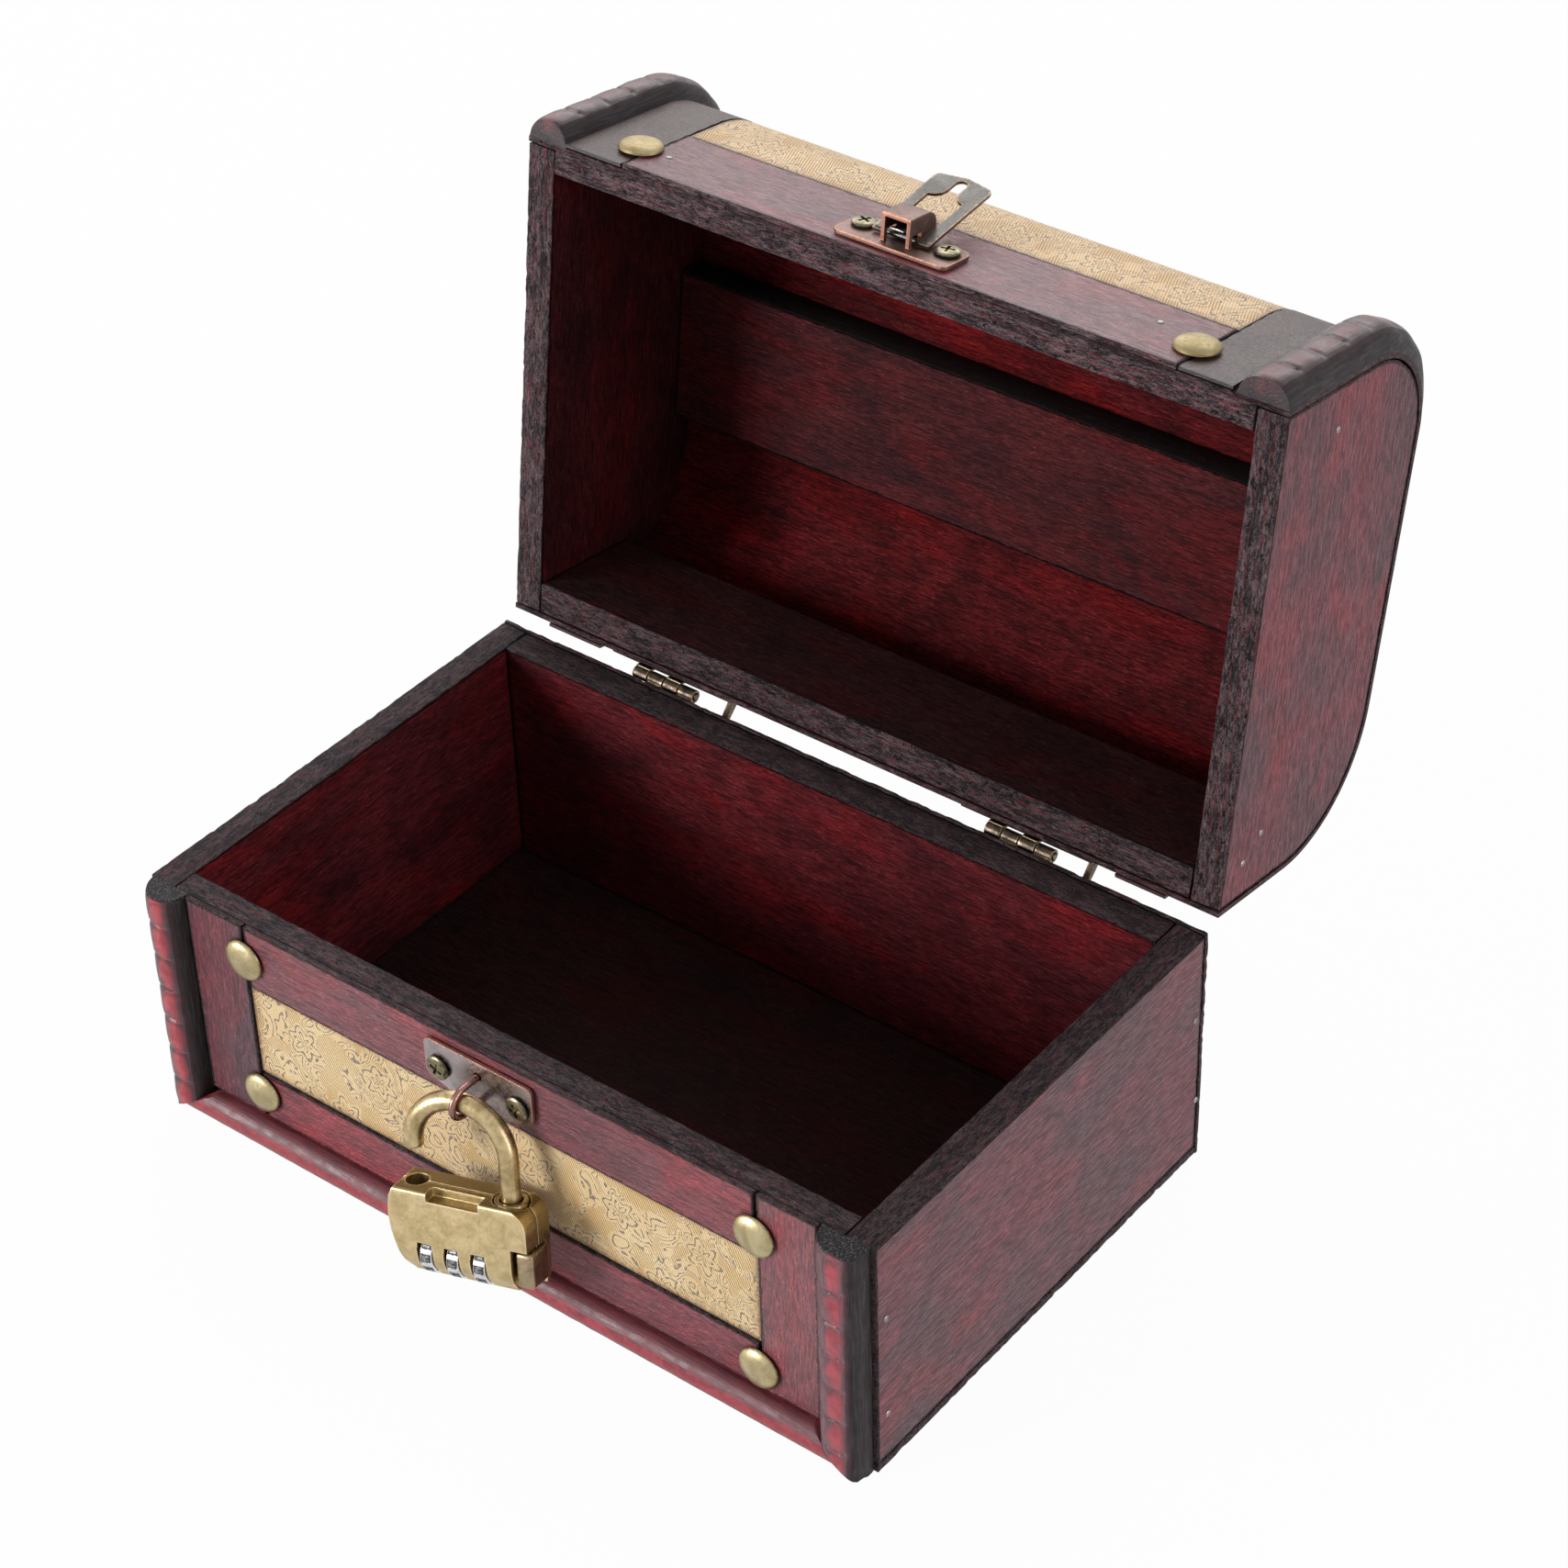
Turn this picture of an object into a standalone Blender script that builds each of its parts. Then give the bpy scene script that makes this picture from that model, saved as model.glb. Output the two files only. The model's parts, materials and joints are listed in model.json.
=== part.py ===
"""Small domed wooden jewelry box, open, with a hasp and a three-dial padlock.

Frame: metres, +Z up, X to the right and Y to the back. The origin is the middle
of the underside, on the surface that the box stands on. The lid's pieces are
modelled closed and turned open about the hinge line by their parent empty.
"""
import math

import bmesh
import bpy
from mathutils import Matrix, Vector

# Fits
FIT = 0.0003            # gap between pieces that rest on each other
OVERRUN = 0.002         # how far a cutter runs past the face that it cuts

# Base, outer sizes and boards
BOX_LENGTH = 0.160
BOX_DEPTH = 0.0963      # front strips' face to the back ends of the side boards
BASE_HEIGHT = 0.0512
SIDE_THICK = 0.0059
FRONT_THICK = 0.0050
BACK_THICK = 0.0062
FLOOR_THICK = 0.0018
SHEET_THICK = 0.00095   # thin sheet on the base's back and round the lid
STRIP_THICK = 0.0009    # flat strips that frame the front of the base
BROCADE_THICK = 0.0005

# Front of the base
END_STRIP_WIDTH = 0.0122
TOP_STRIP_HEIGHT = 0.0137
LOW_STRIP_HEIGHT = 0.0103
SLIT = 0.0006
MOULDING_WIDTH = 0.0105
MOULDING_PROUD = 0.0039
LOW_MOULDING_HEIGHT = 0.0066
LOW_MOULDING_PROUD = 0.0031
NOTCH_PITCH = 0.0066
NOTCH_WIDTH = 0.0018
NOTCH_DEPTH = 0.0006

# Lid
LID_HEIGHT = 0.0476     # rim to the sheet's highest point
LID_SHEET_INSET = 0.00085
LID_FRONT_HEIGHT = 0.028
LID_CREST_DROP = 0.0024
LID_BACK_REACH = 0.0236
LID_BACK_HEIGHT = 0.0213
LID_CLOTH_FOOT = 0.0112   # brocade's lower end at the back, above the rim
LID_FRONT_RAIL = 0.0044
LID_BACK_RAIL_HEIGHT = 0.0255
LID_STRIP_THICK = 0.0008
LID_STRIP_HEIGHT = 0.0190
LEATHER_THICK = 0.0006
LEATHER_WIDTH = 0.0106
SLAT_WIDTH = 0.0306
SLAT_THICK = 0.0052
SLAT_BEFORE_CURVE = 0.00605   # slat's back edge to the start of the back curve
OPEN_ANGLE = math.radians(98)

# Hinges
LEFT_HINGE_INSET = 0.0379   # box's end to the hinge's middle
RIGHT_HINGE_INSET = 0.0408
HINGE_BEHIND = 0.0018   # hinge line behind the back sheet's face
HINGE_BELOW = 0.0003    # hinge line below the base's rim
LEAF_THICK = 0.0006
LEAF_WIDTH = 0.0284
LEAF_HEIGHT = 0.0088
BARREL_RADIUS = 0.0013
BARREL_LENGTH = 0.0146
PIN_RADIUS = 0.00055
STOP_WIDTH = 0.0014
STOP_THICK = 0.0008
STOP_DROP = 0.0042
STOP_REACH = 0.0028

# Dome-headed nails and the hasp's screws
NAIL_RADIUS = 0.0042
NAIL_RISE = 0.0021
NAIL_SHANK = 0.0006
NAIL_LENGTH = 0.0046
LEFT_NAIL_DROP = 0.0072     # rim down to the upper nails
RIGHT_NAIL_DROP = 0.0090
LEFT_NAIL_UP = 0.0128       # underside up to the lower nails
RIGHT_NAIL_UP = 0.0119
LID_NAIL_HEIGHT = 0.0076
LEFT_LID_NAIL_INSET = 0.0198
RIGHT_LID_NAIL_INSET = 0.0225
SCREW_RADIUS = 0.00215
SCREW_RISE = 0.0009
SCREW_SHANK = 0.0009
SCREW_LENGTH = 0.0056
SCREW_OFFSET = 0.0088
SCREW_EDGE = 0.0053

# Hasp
HASP_X = -0.0016
HASP_EDGE = 0.0021      # rim to the near edge of each hasp plate
PLATE_THICK = 0.0007
PLATE_WIDTH = 0.0240
PLATE_DEPTH = 0.0116
STAPLE_RADIUS = 0.0006
STAPLE_TOP = 0.0051     # rim down to the upper leg of the staple
STAPLE_SPAN = 0.0056    # upper leg to lower leg
STAPLE_ROOT = 0.0036    # depth of the legs behind the plate
BRIDGE_WIDTH = 0.0060
BRIDGE_NEAR = 0.0041    # lid's rim to the bridge
BRIDGE_LENGTH = 0.0078
BRIDGE_RISE = 0.0052
BRIDGE_WALL = 0.0007
BRIDGE_ROUND = 0.0026
WINDOW_HALF = 0.0013
STRAP_AXIS_UP = 0.0063  # lid's rim to the strap's axis
STRAP_AXIS_OUT = 0.0008
STRAP_THICK = 0.0006
STRAP_WIDTH = 0.0120
STRAP_END = 0.0011      # metal left past the end of the keyhole
STRAP_CORNER = 0.0014
STRAP_BOW = 0.0008
STRAP_HEEL = 0.0006
STRAP_BAR_RADIUS = 0.0005
KEY_WIDTH = 0.0073
KEY_LENGTH = 0.0126
LOBE_WIDTH = 0.0024
STRAP_LIFT = math.radians(14)
SPRING_THICK = 0.0003
SPRING_WIDTH = 0.0030

# Padlock, in its own frame: x along its width, z up its legs, origin in the arch
SHACKLE_RADIUS = 0.0018
LEG_HALF = 0.00925      # half the distance between the legs
SHORT_LEG = 0.0009      # straight part of the short leg
LONG_LEG = 0.0121
LOCK_TOP = 0.0168       # arch down to the lock's top
LOCK_HEIGHT = 0.0165
LOCK_THICK = 0.0080
LOCK_LEFT = 0.0127
LOCK_RIGHT = 0.0139
LOCK_FOOT = 0.0090
LOCK_ROUND = 0.0038     # rounding of the top right corner, seen from the front
LOCK_SOFT = 0.0006      # rounding of the front's and back's edges
LOCK_BOTTOM_ROUND = 0.0028
LEG_PLAY = 0.0003
SHORT_HOLE = 0.0042
LONG_HOLE = 0.0146
RECESS_DEPTH = 0.0016
RECESS_LEFT = 0.0053
RECESS_RIGHT = 0.0049
RECESS_WALL = 0.0014    # from the middle plane to the recess's back wall
COLLAR_RADIUS = 0.0030
COLLAR_HEIGHT = 0.0028
DIAL_RADIUS = 0.00415
DIAL_WIDTH = 0.0025
DIAL_PITCH = 0.0052
DIAL_MIDDLE = -0.0009
DIAL_UP = 0.0037        # lock's underside to the dials' axle
DIAL_GROOVE = 0.0003
AXLE_RADIUS = 0.00055
AXLE_OVERHANG = 0.0014
LEVER_WIDTH = 0.0020
LEVER_THICK = 0.0040
LEVER_HEIGHT = 0.0066
LEVER_UP = 0.0016
LEVER_ROUND = 0.0007
LEVER_WALL = 0.0031     # leg's axis to the inner side of the lever's recess
HANG_ROOM = 0.0009      # closed strap to the hanging shackle
LOCK_YAW = math.radians(11.5)
LOCK_LEAN = math.radians(-12.5)
LOCK_ROLL = math.radians(-6.9)

# Planes and places that follow from the sizes
HALF = BOX_LENGTH / 2
FRONT = -BOX_DEPTH / 2
BACK = BOX_DEPTH / 2
CORE_FRONT = FRONT + STRIP_THICK + FIT
INNER = HALF - SIDE_THICK - FIT
BACK_FACE = BACK + FIT + SHEET_THICK
FRAME_HALF = HALF - MOULDING_WIDTH - FIT
WINDOW_X = FRAME_HALF - END_STRIP_WIDTH

RIM = BASE_HEIGHT + FIT
LID_SHEET_FRONT = FRONT + LID_SHEET_INSET
LID_CORE_INSET = SHEET_THICK + FIT
LID_CORE_FRONT = LID_SHEET_FRONT + LID_CORE_INSET
LEATHER_X = FRAME_HALF - LEATHER_WIDTH
LID_FACE = LID_SHEET_FRONT - FIT - LID_STRIP_THICK

AXIS_Y = BACK_FACE + HINGE_BEHIND
AXIS_Z = BASE_HEIGHT - HINGE_BELOW
LEAF_IN = FIT
LEAF_CLEAR = BARREL_RADIUS + FIT / 2

BASE_PLATE_FACE = FRONT - FIT - PLATE_THICK
LID_PLATE_FACE = LID_FACE - FIT - PLATE_THICK
STRAP_Y = LID_PLATE_FACE - STRAP_AXIS_OUT
STRAP_Z = RIM + STRAP_AXIS_UP
STRAP_OUTER = STRAP_Y - STRAP_THICK / 2
LOCK_Y = STRAP_OUTER - HANG_ROOM - SHACKLE_RADIUS
STAPLE_TIP = LOCK_Y - SHACKLE_RADIUS - FIT - STAPLE_RADIUS
STAPLE_HIGH = BASE_HEIGHT - STAPLE_TOP
STAPLE_LOW = STAPLE_HIGH - STAPLE_SPAN
STAPLE_BEND = STAPLE_SPAN / 2
LOCK_Z = STAPLE_HIGH - STAPLE_BEND
STAPLE_REACH = math.hypot(STAPLE_TIP + STAPLE_BEND - STRAP_Y, STRAP_Z - LOCK_Z) + STAPLE_BEND + STAPLE_RADIUS
LOBE_LENGTH = STAPLE_REACH + FIT
STRAP_LENGTH = LOBE_LENGTH + STRAP_END


# Scene and mesh helpers
def clear_scene():
    for old in list(bpy.data.objects):
        bpy.data.objects.remove(old, do_unlink=True)


def material(name, colour, roughness, metallic=0.0):
    mat = bpy.data.materials.new(name)
    mat.use_nodes = True
    shader = mat.node_tree.nodes["Principled BSDF"]
    shader.inputs["Base Color"].default_value = (*colour, 1.0)
    shader.inputs["Roughness"].default_value = roughness
    shader.inputs["Metallic"].default_value = metallic
    return mat


def shade(mesh):
    mesh.shade_smooth()
    mesh.set_sharp_from_angle(angle=math.radians(35))


def make(name, bm, mat=None):
    """Turn a bmesh into a named object with its faces pointing out."""
    bmesh.ops.recalc_face_normals(bm, faces=bm.faces)
    mesh = bpy.data.meshes.new(name)
    bm.to_mesh(mesh)
    bm.free()
    obj = bpy.data.objects.new(name, mesh)
    bpy.context.collection.objects.link(obj)
    if mat:
        mesh.materials.append(mat)
    shade(mesh)
    return obj


def add_box(bm, low, high):
    low, high = Vector(low), Vector(high)
    size = high - low
    placed = Matrix.Translation((low + high) / 2) @ Matrix.Diagonal((*size, 1.0))
    bmesh.ops.create_cube(bm, size=1.0, matrix=placed)


def add_prism(bm, outline, start, end, frame=None):
    """Extrude a closed outline of (a, b) points along a third axis.

    Without a frame the outline lies in Y and Z and runs along X.
    """
    frame = frame or Matrix.Identity(4)
    rows = []
    for along in (start, end):
        rows.append([bm.verts.new(frame @ Vector((along, a, b))) for a, b in outline])
    count = len(outline)
    for i in range(count):
        j = (i + 1) % count
        bm.faces.new((rows[0][i], rows[0][j], rows[1][j], rows[1][i]))
    bm.faces.new(rows[0][::-1])
    bm.faces.new(rows[1])


def add_rings(bm, rings):
    """Skin a list of rings of points, with a cap on each end."""
    rows = [[bm.verts.new(point) for point in ring] for ring in rings]
    count = len(rows[0])
    for low, high in zip(rows, rows[1:]):
        for i in range(count):
            j = (i + 1) % count
            bm.faces.new((low[i], low[j], high[j], high[i]))
    bm.faces.new(rows[0][::-1])
    bm.faces.new(rows[-1])


def add_turned(bm, profile, frame, sides):
    """Turn a profile of (radius, height) points about the frame's Z axis."""
    rings = []
    for radius, height in profile:
        ring = []
        for i in range(sides):
            angle = 2 * math.pi * i / sides
            ring.append(frame @ Vector((radius * math.cos(angle), radius * math.sin(angle), height)))
        rings.append(ring)
    add_rings(bm, rings)


def add_tube(bm, path, radius, sides, side_axis):
    """Sweep a circle along a flat path whose plane is square to side_axis."""
    rings = []
    side_axis = Vector(side_axis)
    for i, point in enumerate(path):
        before = path[max(i - 1, 0)]
        after = path[min(i + 1, len(path) - 1)]
        tangent = (after - before).normalized()
        other = side_axis.cross(tangent).normalized()
        ring = []
        for k in range(sides):
            angle = 2 * math.pi * k / sides
            ring.append(point + (side_axis * math.cos(angle) + other * math.sin(angle)) * radius)
        rings.append(ring)
    add_rings(bm, rings)


def arc(centre_a, centre_b, radius, start, end, steps):
    """Points of an arc in a plane, with angles in degrees."""
    points = []
    for i in range(steps + 1):
        angle = math.radians(start + (end - start) * i / steps)
        points.append((centre_a + radius * math.cos(angle), centre_b + radius * math.sin(angle)))
    return points


def box(name, low, high, mat):
    bm = bmesh.new()
    add_box(bm, low, high)
    return make(name, bm, mat)


def apply_modifiers(obj):
    graph = bpy.context.evaluated_depsgraph_get()
    mesh = bpy.data.meshes.new_from_object(obj.evaluated_get(graph))
    obj.modifiers.clear()
    obj.data = mesh
    shade(mesh)


def combine(targets, tool, operation):
    """Use one tool on several objects, then remove the tool."""
    for target in targets:
        modifier = target.modifiers.new(operation.title(), "BOOLEAN")
        modifier.operation = operation
        modifier.solver = "EXACT"
        modifier.object = tool
        apply_modifiers(target)
    bpy.data.objects.remove(tool, do_unlink=True)


def cut(targets, tool):
    combine(targets, tool, "DIFFERENCE")


def join(target, tool):
    combine([target], tool, "UNION")


def facing(direction, place):
    """Frame at a place whose Z axis points along a direction."""
    turn = Vector((0, 0, 1)).rotation_difference(Vector(direction)).to_matrix().to_4x4()
    return Matrix.Translation(Vector(place)) @ turn


def fasteners(name, frames, head, shank, length, mat, targets, sides=10):
    """Headed pins, one object for each frame, and the holes that they sit in.

    head is a list of (radius, height) points from the seat up.
    """
    pieces = []
    holes = bmesh.new()
    for number, frame in enumerate(frames, 1):
        pin = bmesh.new()
        add_turned(pin, [(shank, -length), (shank, 0)] + head, frame, sides)
        pieces.append(make(name + "_" + str(number), pin, mat))
        add_turned(holes, [(shank + FIT, -length - FIT), (shank + FIT, OVERRUN)], frame, sides)
    cut(targets, make("holes", holes))
    return pieces


def attach(objects, pivot, location):
    """Parent pieces that were modelled in place to a pivot at that location."""
    for obj in objects:
        obj.data.transform(Matrix.Translation(-Vector(location)))
        obj.parent = pivot


def pivot_empty(name, location, rotation=(0, 0, 0), parent=None):
    empty = bpy.data.objects.new(name, None)
    bpy.context.collection.objects.link(empty)
    empty.location = location
    empty.rotation_euler = rotation
    empty.parent = parent
    return empty


clear_scene()

RED_WOOD = material("red_stained_ply", (0.20, 0.022, 0.030), 0.42)
DARK_WOOD = material("plum_strip", (0.13, 0.030, 0.038), 0.45)
MOULDING_WOOD = material("burnished_moulding", (0.12, 0.020, 0.024), 0.30)
BROCADE = material("gold_brocade", (0.62, 0.45, 0.19), 0.60)
LEATHER = material("dark_leather", (0.055, 0.028, 0.028), 0.45)
BRASS = material("antique_brass", (0.42, 0.32, 0.13), 0.35, 1.0)
COPPER = material("antique_copper", (0.45, 0.23, 0.15), 0.35, 1.0)
DARK_STEEL = material("dark_strap_steel", (0.16, 0.14, 0.13), 0.35, 1.0)
BLACK_STEEL = material("small_dark_pins", (0.12, 0.12, 0.12), 0.40, 1.0)
SILVER = material("silver_dial", (0.75, 0.75, 0.75), 0.25, 1.0)


# Base boards
def base_board(name, low_x, high_x, low_y, high_y):
    low = (low_x, low_y, FLOOR_THICK + FIT)
    return box(name, low, (high_x, high_y, BASE_HEIGHT), RED_WOOD)


base_left_side = base_board("base_left_side", -HALF, -HALF + SIDE_THICK, CORE_FRONT, BACK)
base_right_side = base_board("base_right_side", HALF - SIDE_THICK, HALF, CORE_FRONT, BACK)
base_front_panel = base_board("base_front_panel", -INNER, INNER, CORE_FRONT, CORE_FRONT + FRONT_THICK)
base_back_panel = base_board("base_back_panel", -INNER, INNER, BACK - BACK_THICK, BACK)
base_floor = box("base_floor", (-HALF, CORE_FRONT, 0), (HALF, BACK, FLOOR_THICK), RED_WOOD)
base_back_sheet = box("base_back_sheet", (-HALF, BACK + FIT, 0), (HALF, BACK_FACE, BASE_HEIGHT), RED_WOOD)


# Front of the base: strips, brocade and mouldings
STRIP_BACK = CORE_FRONT - FIT
LOW_STRIP_FOOT = LOW_MOULDING_HEIGHT + FIT
LOW_STRIP_TOP = LOW_STRIP_FOOT + LOW_STRIP_HEIGHT
TOP_STRIP_FOOT = BASE_HEIGHT - TOP_STRIP_HEIGHT


def front_strip(name, low_x, high_x, low_z, high_z):
    return box(name, (low_x, FRONT, low_z), (high_x, STRIP_BACK, high_z), DARK_WOOD)


base_left_strip = front_strip("base_left_strip", -FRAME_HALF, -WINDOW_X, LOW_STRIP_FOOT, BASE_HEIGHT)
base_right_strip = front_strip("base_right_strip", WINDOW_X, FRAME_HALF, LOW_STRIP_FOOT, BASE_HEIGHT)
base_top_strip = front_strip("base_top_strip", -WINDOW_X + SLIT, WINDOW_X - SLIT, TOP_STRIP_FOOT, BASE_HEIGHT)
base_low_strip = front_strip("base_low_strip", -WINDOW_X + SLIT, WINDOW_X - SLIT, LOW_STRIP_FOOT, LOW_STRIP_TOP)
base_brocade = box(
    "base_brocade",
    (-WINDOW_X + FIT, STRIP_BACK - BROCADE_THICK, LOW_STRIP_TOP + FIT),
    (WINDOW_X - FIT, STRIP_BACK, TOP_STRIP_FOOT - FIT),
    BROCADE,
)

# Half outline of the notched moulding: shares of its width and of its height
DOME_SHARES = ((0.50, 0.0), (0.50, 0.42), (0.43, 0.70), (0.28, 0.93), (0.0, 1.0))


def dome_points(height):
    half = [(MOULDING_WIDTH * across, height * up) for across, up in DOME_SHARES]
    return [(-across, up) for across, up in half[:-1]] + half[::-1]


def notch_stations(length):
    """Places along a moulding, each with how much of its height is left."""
    stations = [(0.0, 0.0)]
    count = int(length / NOTCH_PITCH)
    for i in range(count):
        middle = (i + 0.5) * length / count
        stations.append((middle - NOTCH_WIDTH / 2, 0.0))
        stations.append((middle, NOTCH_DEPTH))
        stations.append((middle + NOTCH_WIDTH / 2, 0.0))
    stations.append((length, 0.0))
    return stations


MITRE_SLOPE = LOW_MOULDING_HEIGHT / MOULDING_WIDTH
MOULDING_X = HALF - MOULDING_WIDTH / 2


def mitred_foot(x):
    return (HALF - abs(x)) * MITRE_SLOPE + FIT


def base_moulding(name, middle_x):
    """Upright notched moulding. Its foot is mitred with the low moulding, so its rings start above the mitre."""
    height = MOULDING_PROUD + STRIP_BACK - FRONT
    start = LOW_MOULDING_HEIGHT + FIT
    rings = [[Vector((middle_x + a, STRIP_BACK - up, mitred_foot(middle_x + a)))
              for a, up in dome_points(height)]]
    for station, loss in notch_stations(BASE_HEIGHT - start):
        if station > 0:
            rings.append([Vector((middle_x + a, STRIP_BACK - up, start + station))
                          for a, up in dome_points(height - loss)])
    bm = bmesh.new()
    add_rings(bm, rings)
    return make(name, bm, MOULDING_WOOD)


base_right_moulding = base_moulding("base_right_moulding", MOULDING_X)
base_left_moulding = base_moulding("base_left_moulding", -MOULDING_X)


def low_moulding():
    """Plain half-round along the front's foot, mitred at both ends."""
    depth = LOW_MOULDING_PROUD + STRIP_BACK - FRONT
    rings_low, rings_high = [], []
    profile = [(STRIP_BACK, 0.0), (STRIP_BACK, LOW_MOULDING_HEIGHT)]
    shoulder = depth - LOW_MOULDING_PROUD
    profile.append((STRIP_BACK - shoulder, LOW_MOULDING_HEIGHT))
    for out, up in arc(0, 0, 1, 75, -75, 8):
        y = STRIP_BACK - shoulder - LOW_MOULDING_PROUD * out
        profile.append((y, LOW_MOULDING_HEIGHT / 2 * (1 + up)))
    profile.append((STRIP_BACK - shoulder, 0.0))
    for y, z in profile:
        rings_low.append(Vector((-HALF + z / MITRE_SLOPE, y, z)))
        rings_high.append(Vector((HALF - z / MITRE_SLOPE, y, z)))
    bm = bmesh.new()
    add_rings(bm, [rings_low, rings_high])
    return make("base_low_moulding", bm, MOULDING_WOOD)


base_low_moulding = low_moulding()


# Lid, modelled closed
def lid_outline(inset, front_foot=0.0, back_foot=0.0):
    """(y, z) points of the lid's bent sheet, from the front foot to the back.

    The points of the outer face are moved inwards, square to it, by inset.
    """
    corner = LID_HEIGHT - LID_FRONT_HEIGHT
    points = [(LID_SHEET_FRONT, front_foot)]
    for y, z in arc(LID_SHEET_FRONT + corner, LID_FRONT_HEIGHT, corner, 180, 90, 8):
        points.append((y, z))
    crest = LID_HEIGHT - LID_CREST_DROP
    # Bezier handles as shares of the back curve's reach and height
    handle_shares = ((0.0, 1.0), (0.552, 0.976), (1.0, 0.552), (1.0, 0.0))
    start = BACK_FACE - LID_BACK_REACH
    rise = crest - LID_BACK_HEIGHT
    for i in range(13):
        t = i / 12
        weights = ((1 - t) ** 3, 3 * t * (1 - t) ** 2, 3 * t * t * (1 - t), t ** 3)
        along = sum(w * share[0] for w, share in zip(weights, handle_shares))
        up = sum(w * share[1] for w, share in zip(weights, handle_shares))
        points.append((start + LID_BACK_REACH * along, LID_BACK_HEIGHT + rise * up))
    points.append((BACK_FACE, back_foot))
    moved = []
    for i, (y, z) in enumerate(points):
        before = Vector(points[max(i - 1, 0)])
        after = Vector(points[min(i + 1, len(points) - 1)])
        here = Vector((y, z))
        first = (here - before).normalized() if i else (after - here).normalized()
        last = (after - here).normalized() if i < len(points) - 1 else first
        middle = (first + last).normalized()
        inward = Vector((middle.y, -middle.x))
        stretch = 1 / max(middle.dot(first), 0.5)
        moved.append((y + inward.x * inset * stretch, RIM + z + inward.y * inset * stretch))
    return moved


def lid_layer(name, low_x, high_x, inset, thick, mat, front_foot=0.0, back_foot=0.0):
    """A bent layer of the lid between two insets."""
    outer = lid_outline(inset, front_foot, back_foot)
    inner = lid_outline(inset + thick, front_foot, back_foot)
    bm = bmesh.new()
    rows = [(outer[i], inner[i]) for i in range(len(outer))]
    rings = []
    for (outer_y, outer_z), (inner_y, inner_z) in rows:
        rings.append([
            Vector((low_x, outer_y, outer_z)), Vector((high_x, outer_y, outer_z)),
            Vector((high_x, inner_y, inner_z)), Vector((low_x, inner_y, inner_z)),
        ])
    add_rings(bm, rings)
    return make(name, bm, mat)


def lid_side(name, low_x, high_x):
    bm = bmesh.new()
    add_prism(bm, lid_outline(LID_CORE_INSET), low_x, high_x)
    return make(name, bm, RED_WOOD)


lid_left_side = lid_side("lid_left_side", -HALF, -HALF + SIDE_THICK)
lid_right_side = lid_side("lid_right_side", HALF - SIDE_THICK, HALF)
lid_front_rail = box(
    "lid_front_rail",
    (-INNER, LID_CORE_FRONT, RIM),
    (INNER, LID_CORE_FRONT + LID_FRONT_RAIL, RIM + LID_FRONT_HEIGHT),
    RED_WOOD,
)


def back_rail():
    """Board along the back, its outer top edge shaped to the bent sheet."""
    top = RIM + LID_BACK_RAIL_HEIGHT
    inner = BACK - BACK_THICK
    roof = lid_outline(LID_CORE_INSET)
    shaped = []
    for (high_y, high_z), (low_y, low_z) in zip(roof, roof[1:]):
        if high_y > inner and high_z > top > low_z:
            share = (high_z - top) / (high_z - low_z)
            shaped.append((high_y + (low_y - high_y) * share, top))
        if low_y > inner and low_z < top:
            shaped.append((low_y, low_z))
    outline = [(inner, RIM), (inner, top)] + shaped
    bm = bmesh.new()
    add_prism(bm, outline, -INNER, INNER)
    return make("lid_back_rail", bm, RED_WOOD)


lid_back_rail = back_rail()
lid_roof_sheet = lid_layer("lid_roof_sheet", -HALF, HALF, 0.0, SHEET_THICK, RED_WOOD)


def inner_slat():
    """Flat board glued under the roof, seen inside the lid."""
    back = BACK_FACE - LID_BACK_REACH - SLAT_BEFORE_CURVE
    front = back - SLAT_WIDTH
    corner = LID_HEIGHT - LID_FRONT_HEIGHT
    flat_start = LID_SHEET_FRONT + corner
    fall = LID_CREST_DROP / (BACK_FACE - LID_BACK_REACH - flat_start)
    ceiling = RIM + LID_HEIGHT - LID_CORE_INSET
    top_front = ceiling - (front - flat_start) * fall
    top_back = ceiling - (back - flat_start) * fall - FIT
    outline = [(front, top_front), (back, top_back), (back, top_back - SLAT_THICK), (front, top_back - SLAT_THICK)]
    bm = bmesh.new()
    add_prism(bm, outline, -INNER, INNER)
    return make("lid_inner_slat", bm, RED_WOOD)


lid_inner_slat = inner_slat()
lid_front_strip = box(
    "lid_front_strip",
    (-LEATHER_X + FIT, LID_FACE, RIM),
    (LEATHER_X - FIT, LID_SHEET_FRONT - FIT, RIM + LID_STRIP_HEIGHT),
    DARK_WOOD,
)
lid_brocade = lid_layer(
    "lid_brocade", -LEATHER_X + FIT, LEATHER_X - FIT, -FIT - BROCADE_THICK, BROCADE_THICK, BROCADE,
    LID_STRIP_HEIGHT + FIT, LID_CLOTH_FOOT,
)
lid_left_leather = lid_layer(
    "lid_left_leather", -FRAME_HALF, -LEATHER_X, -FIT - LEATHER_THICK, LEATHER_THICK, LEATHER)
lid_right_leather = lid_layer(
    "lid_right_leather", LEATHER_X, FRAME_HALF, -FIT - LEATHER_THICK, LEATHER_THICK, LEATHER)


# The moulding thins from this share of the bend to this share of its height
THIN_FROM_SHARE = 0.6
THIN_END_SHARE = 0.25


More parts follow.
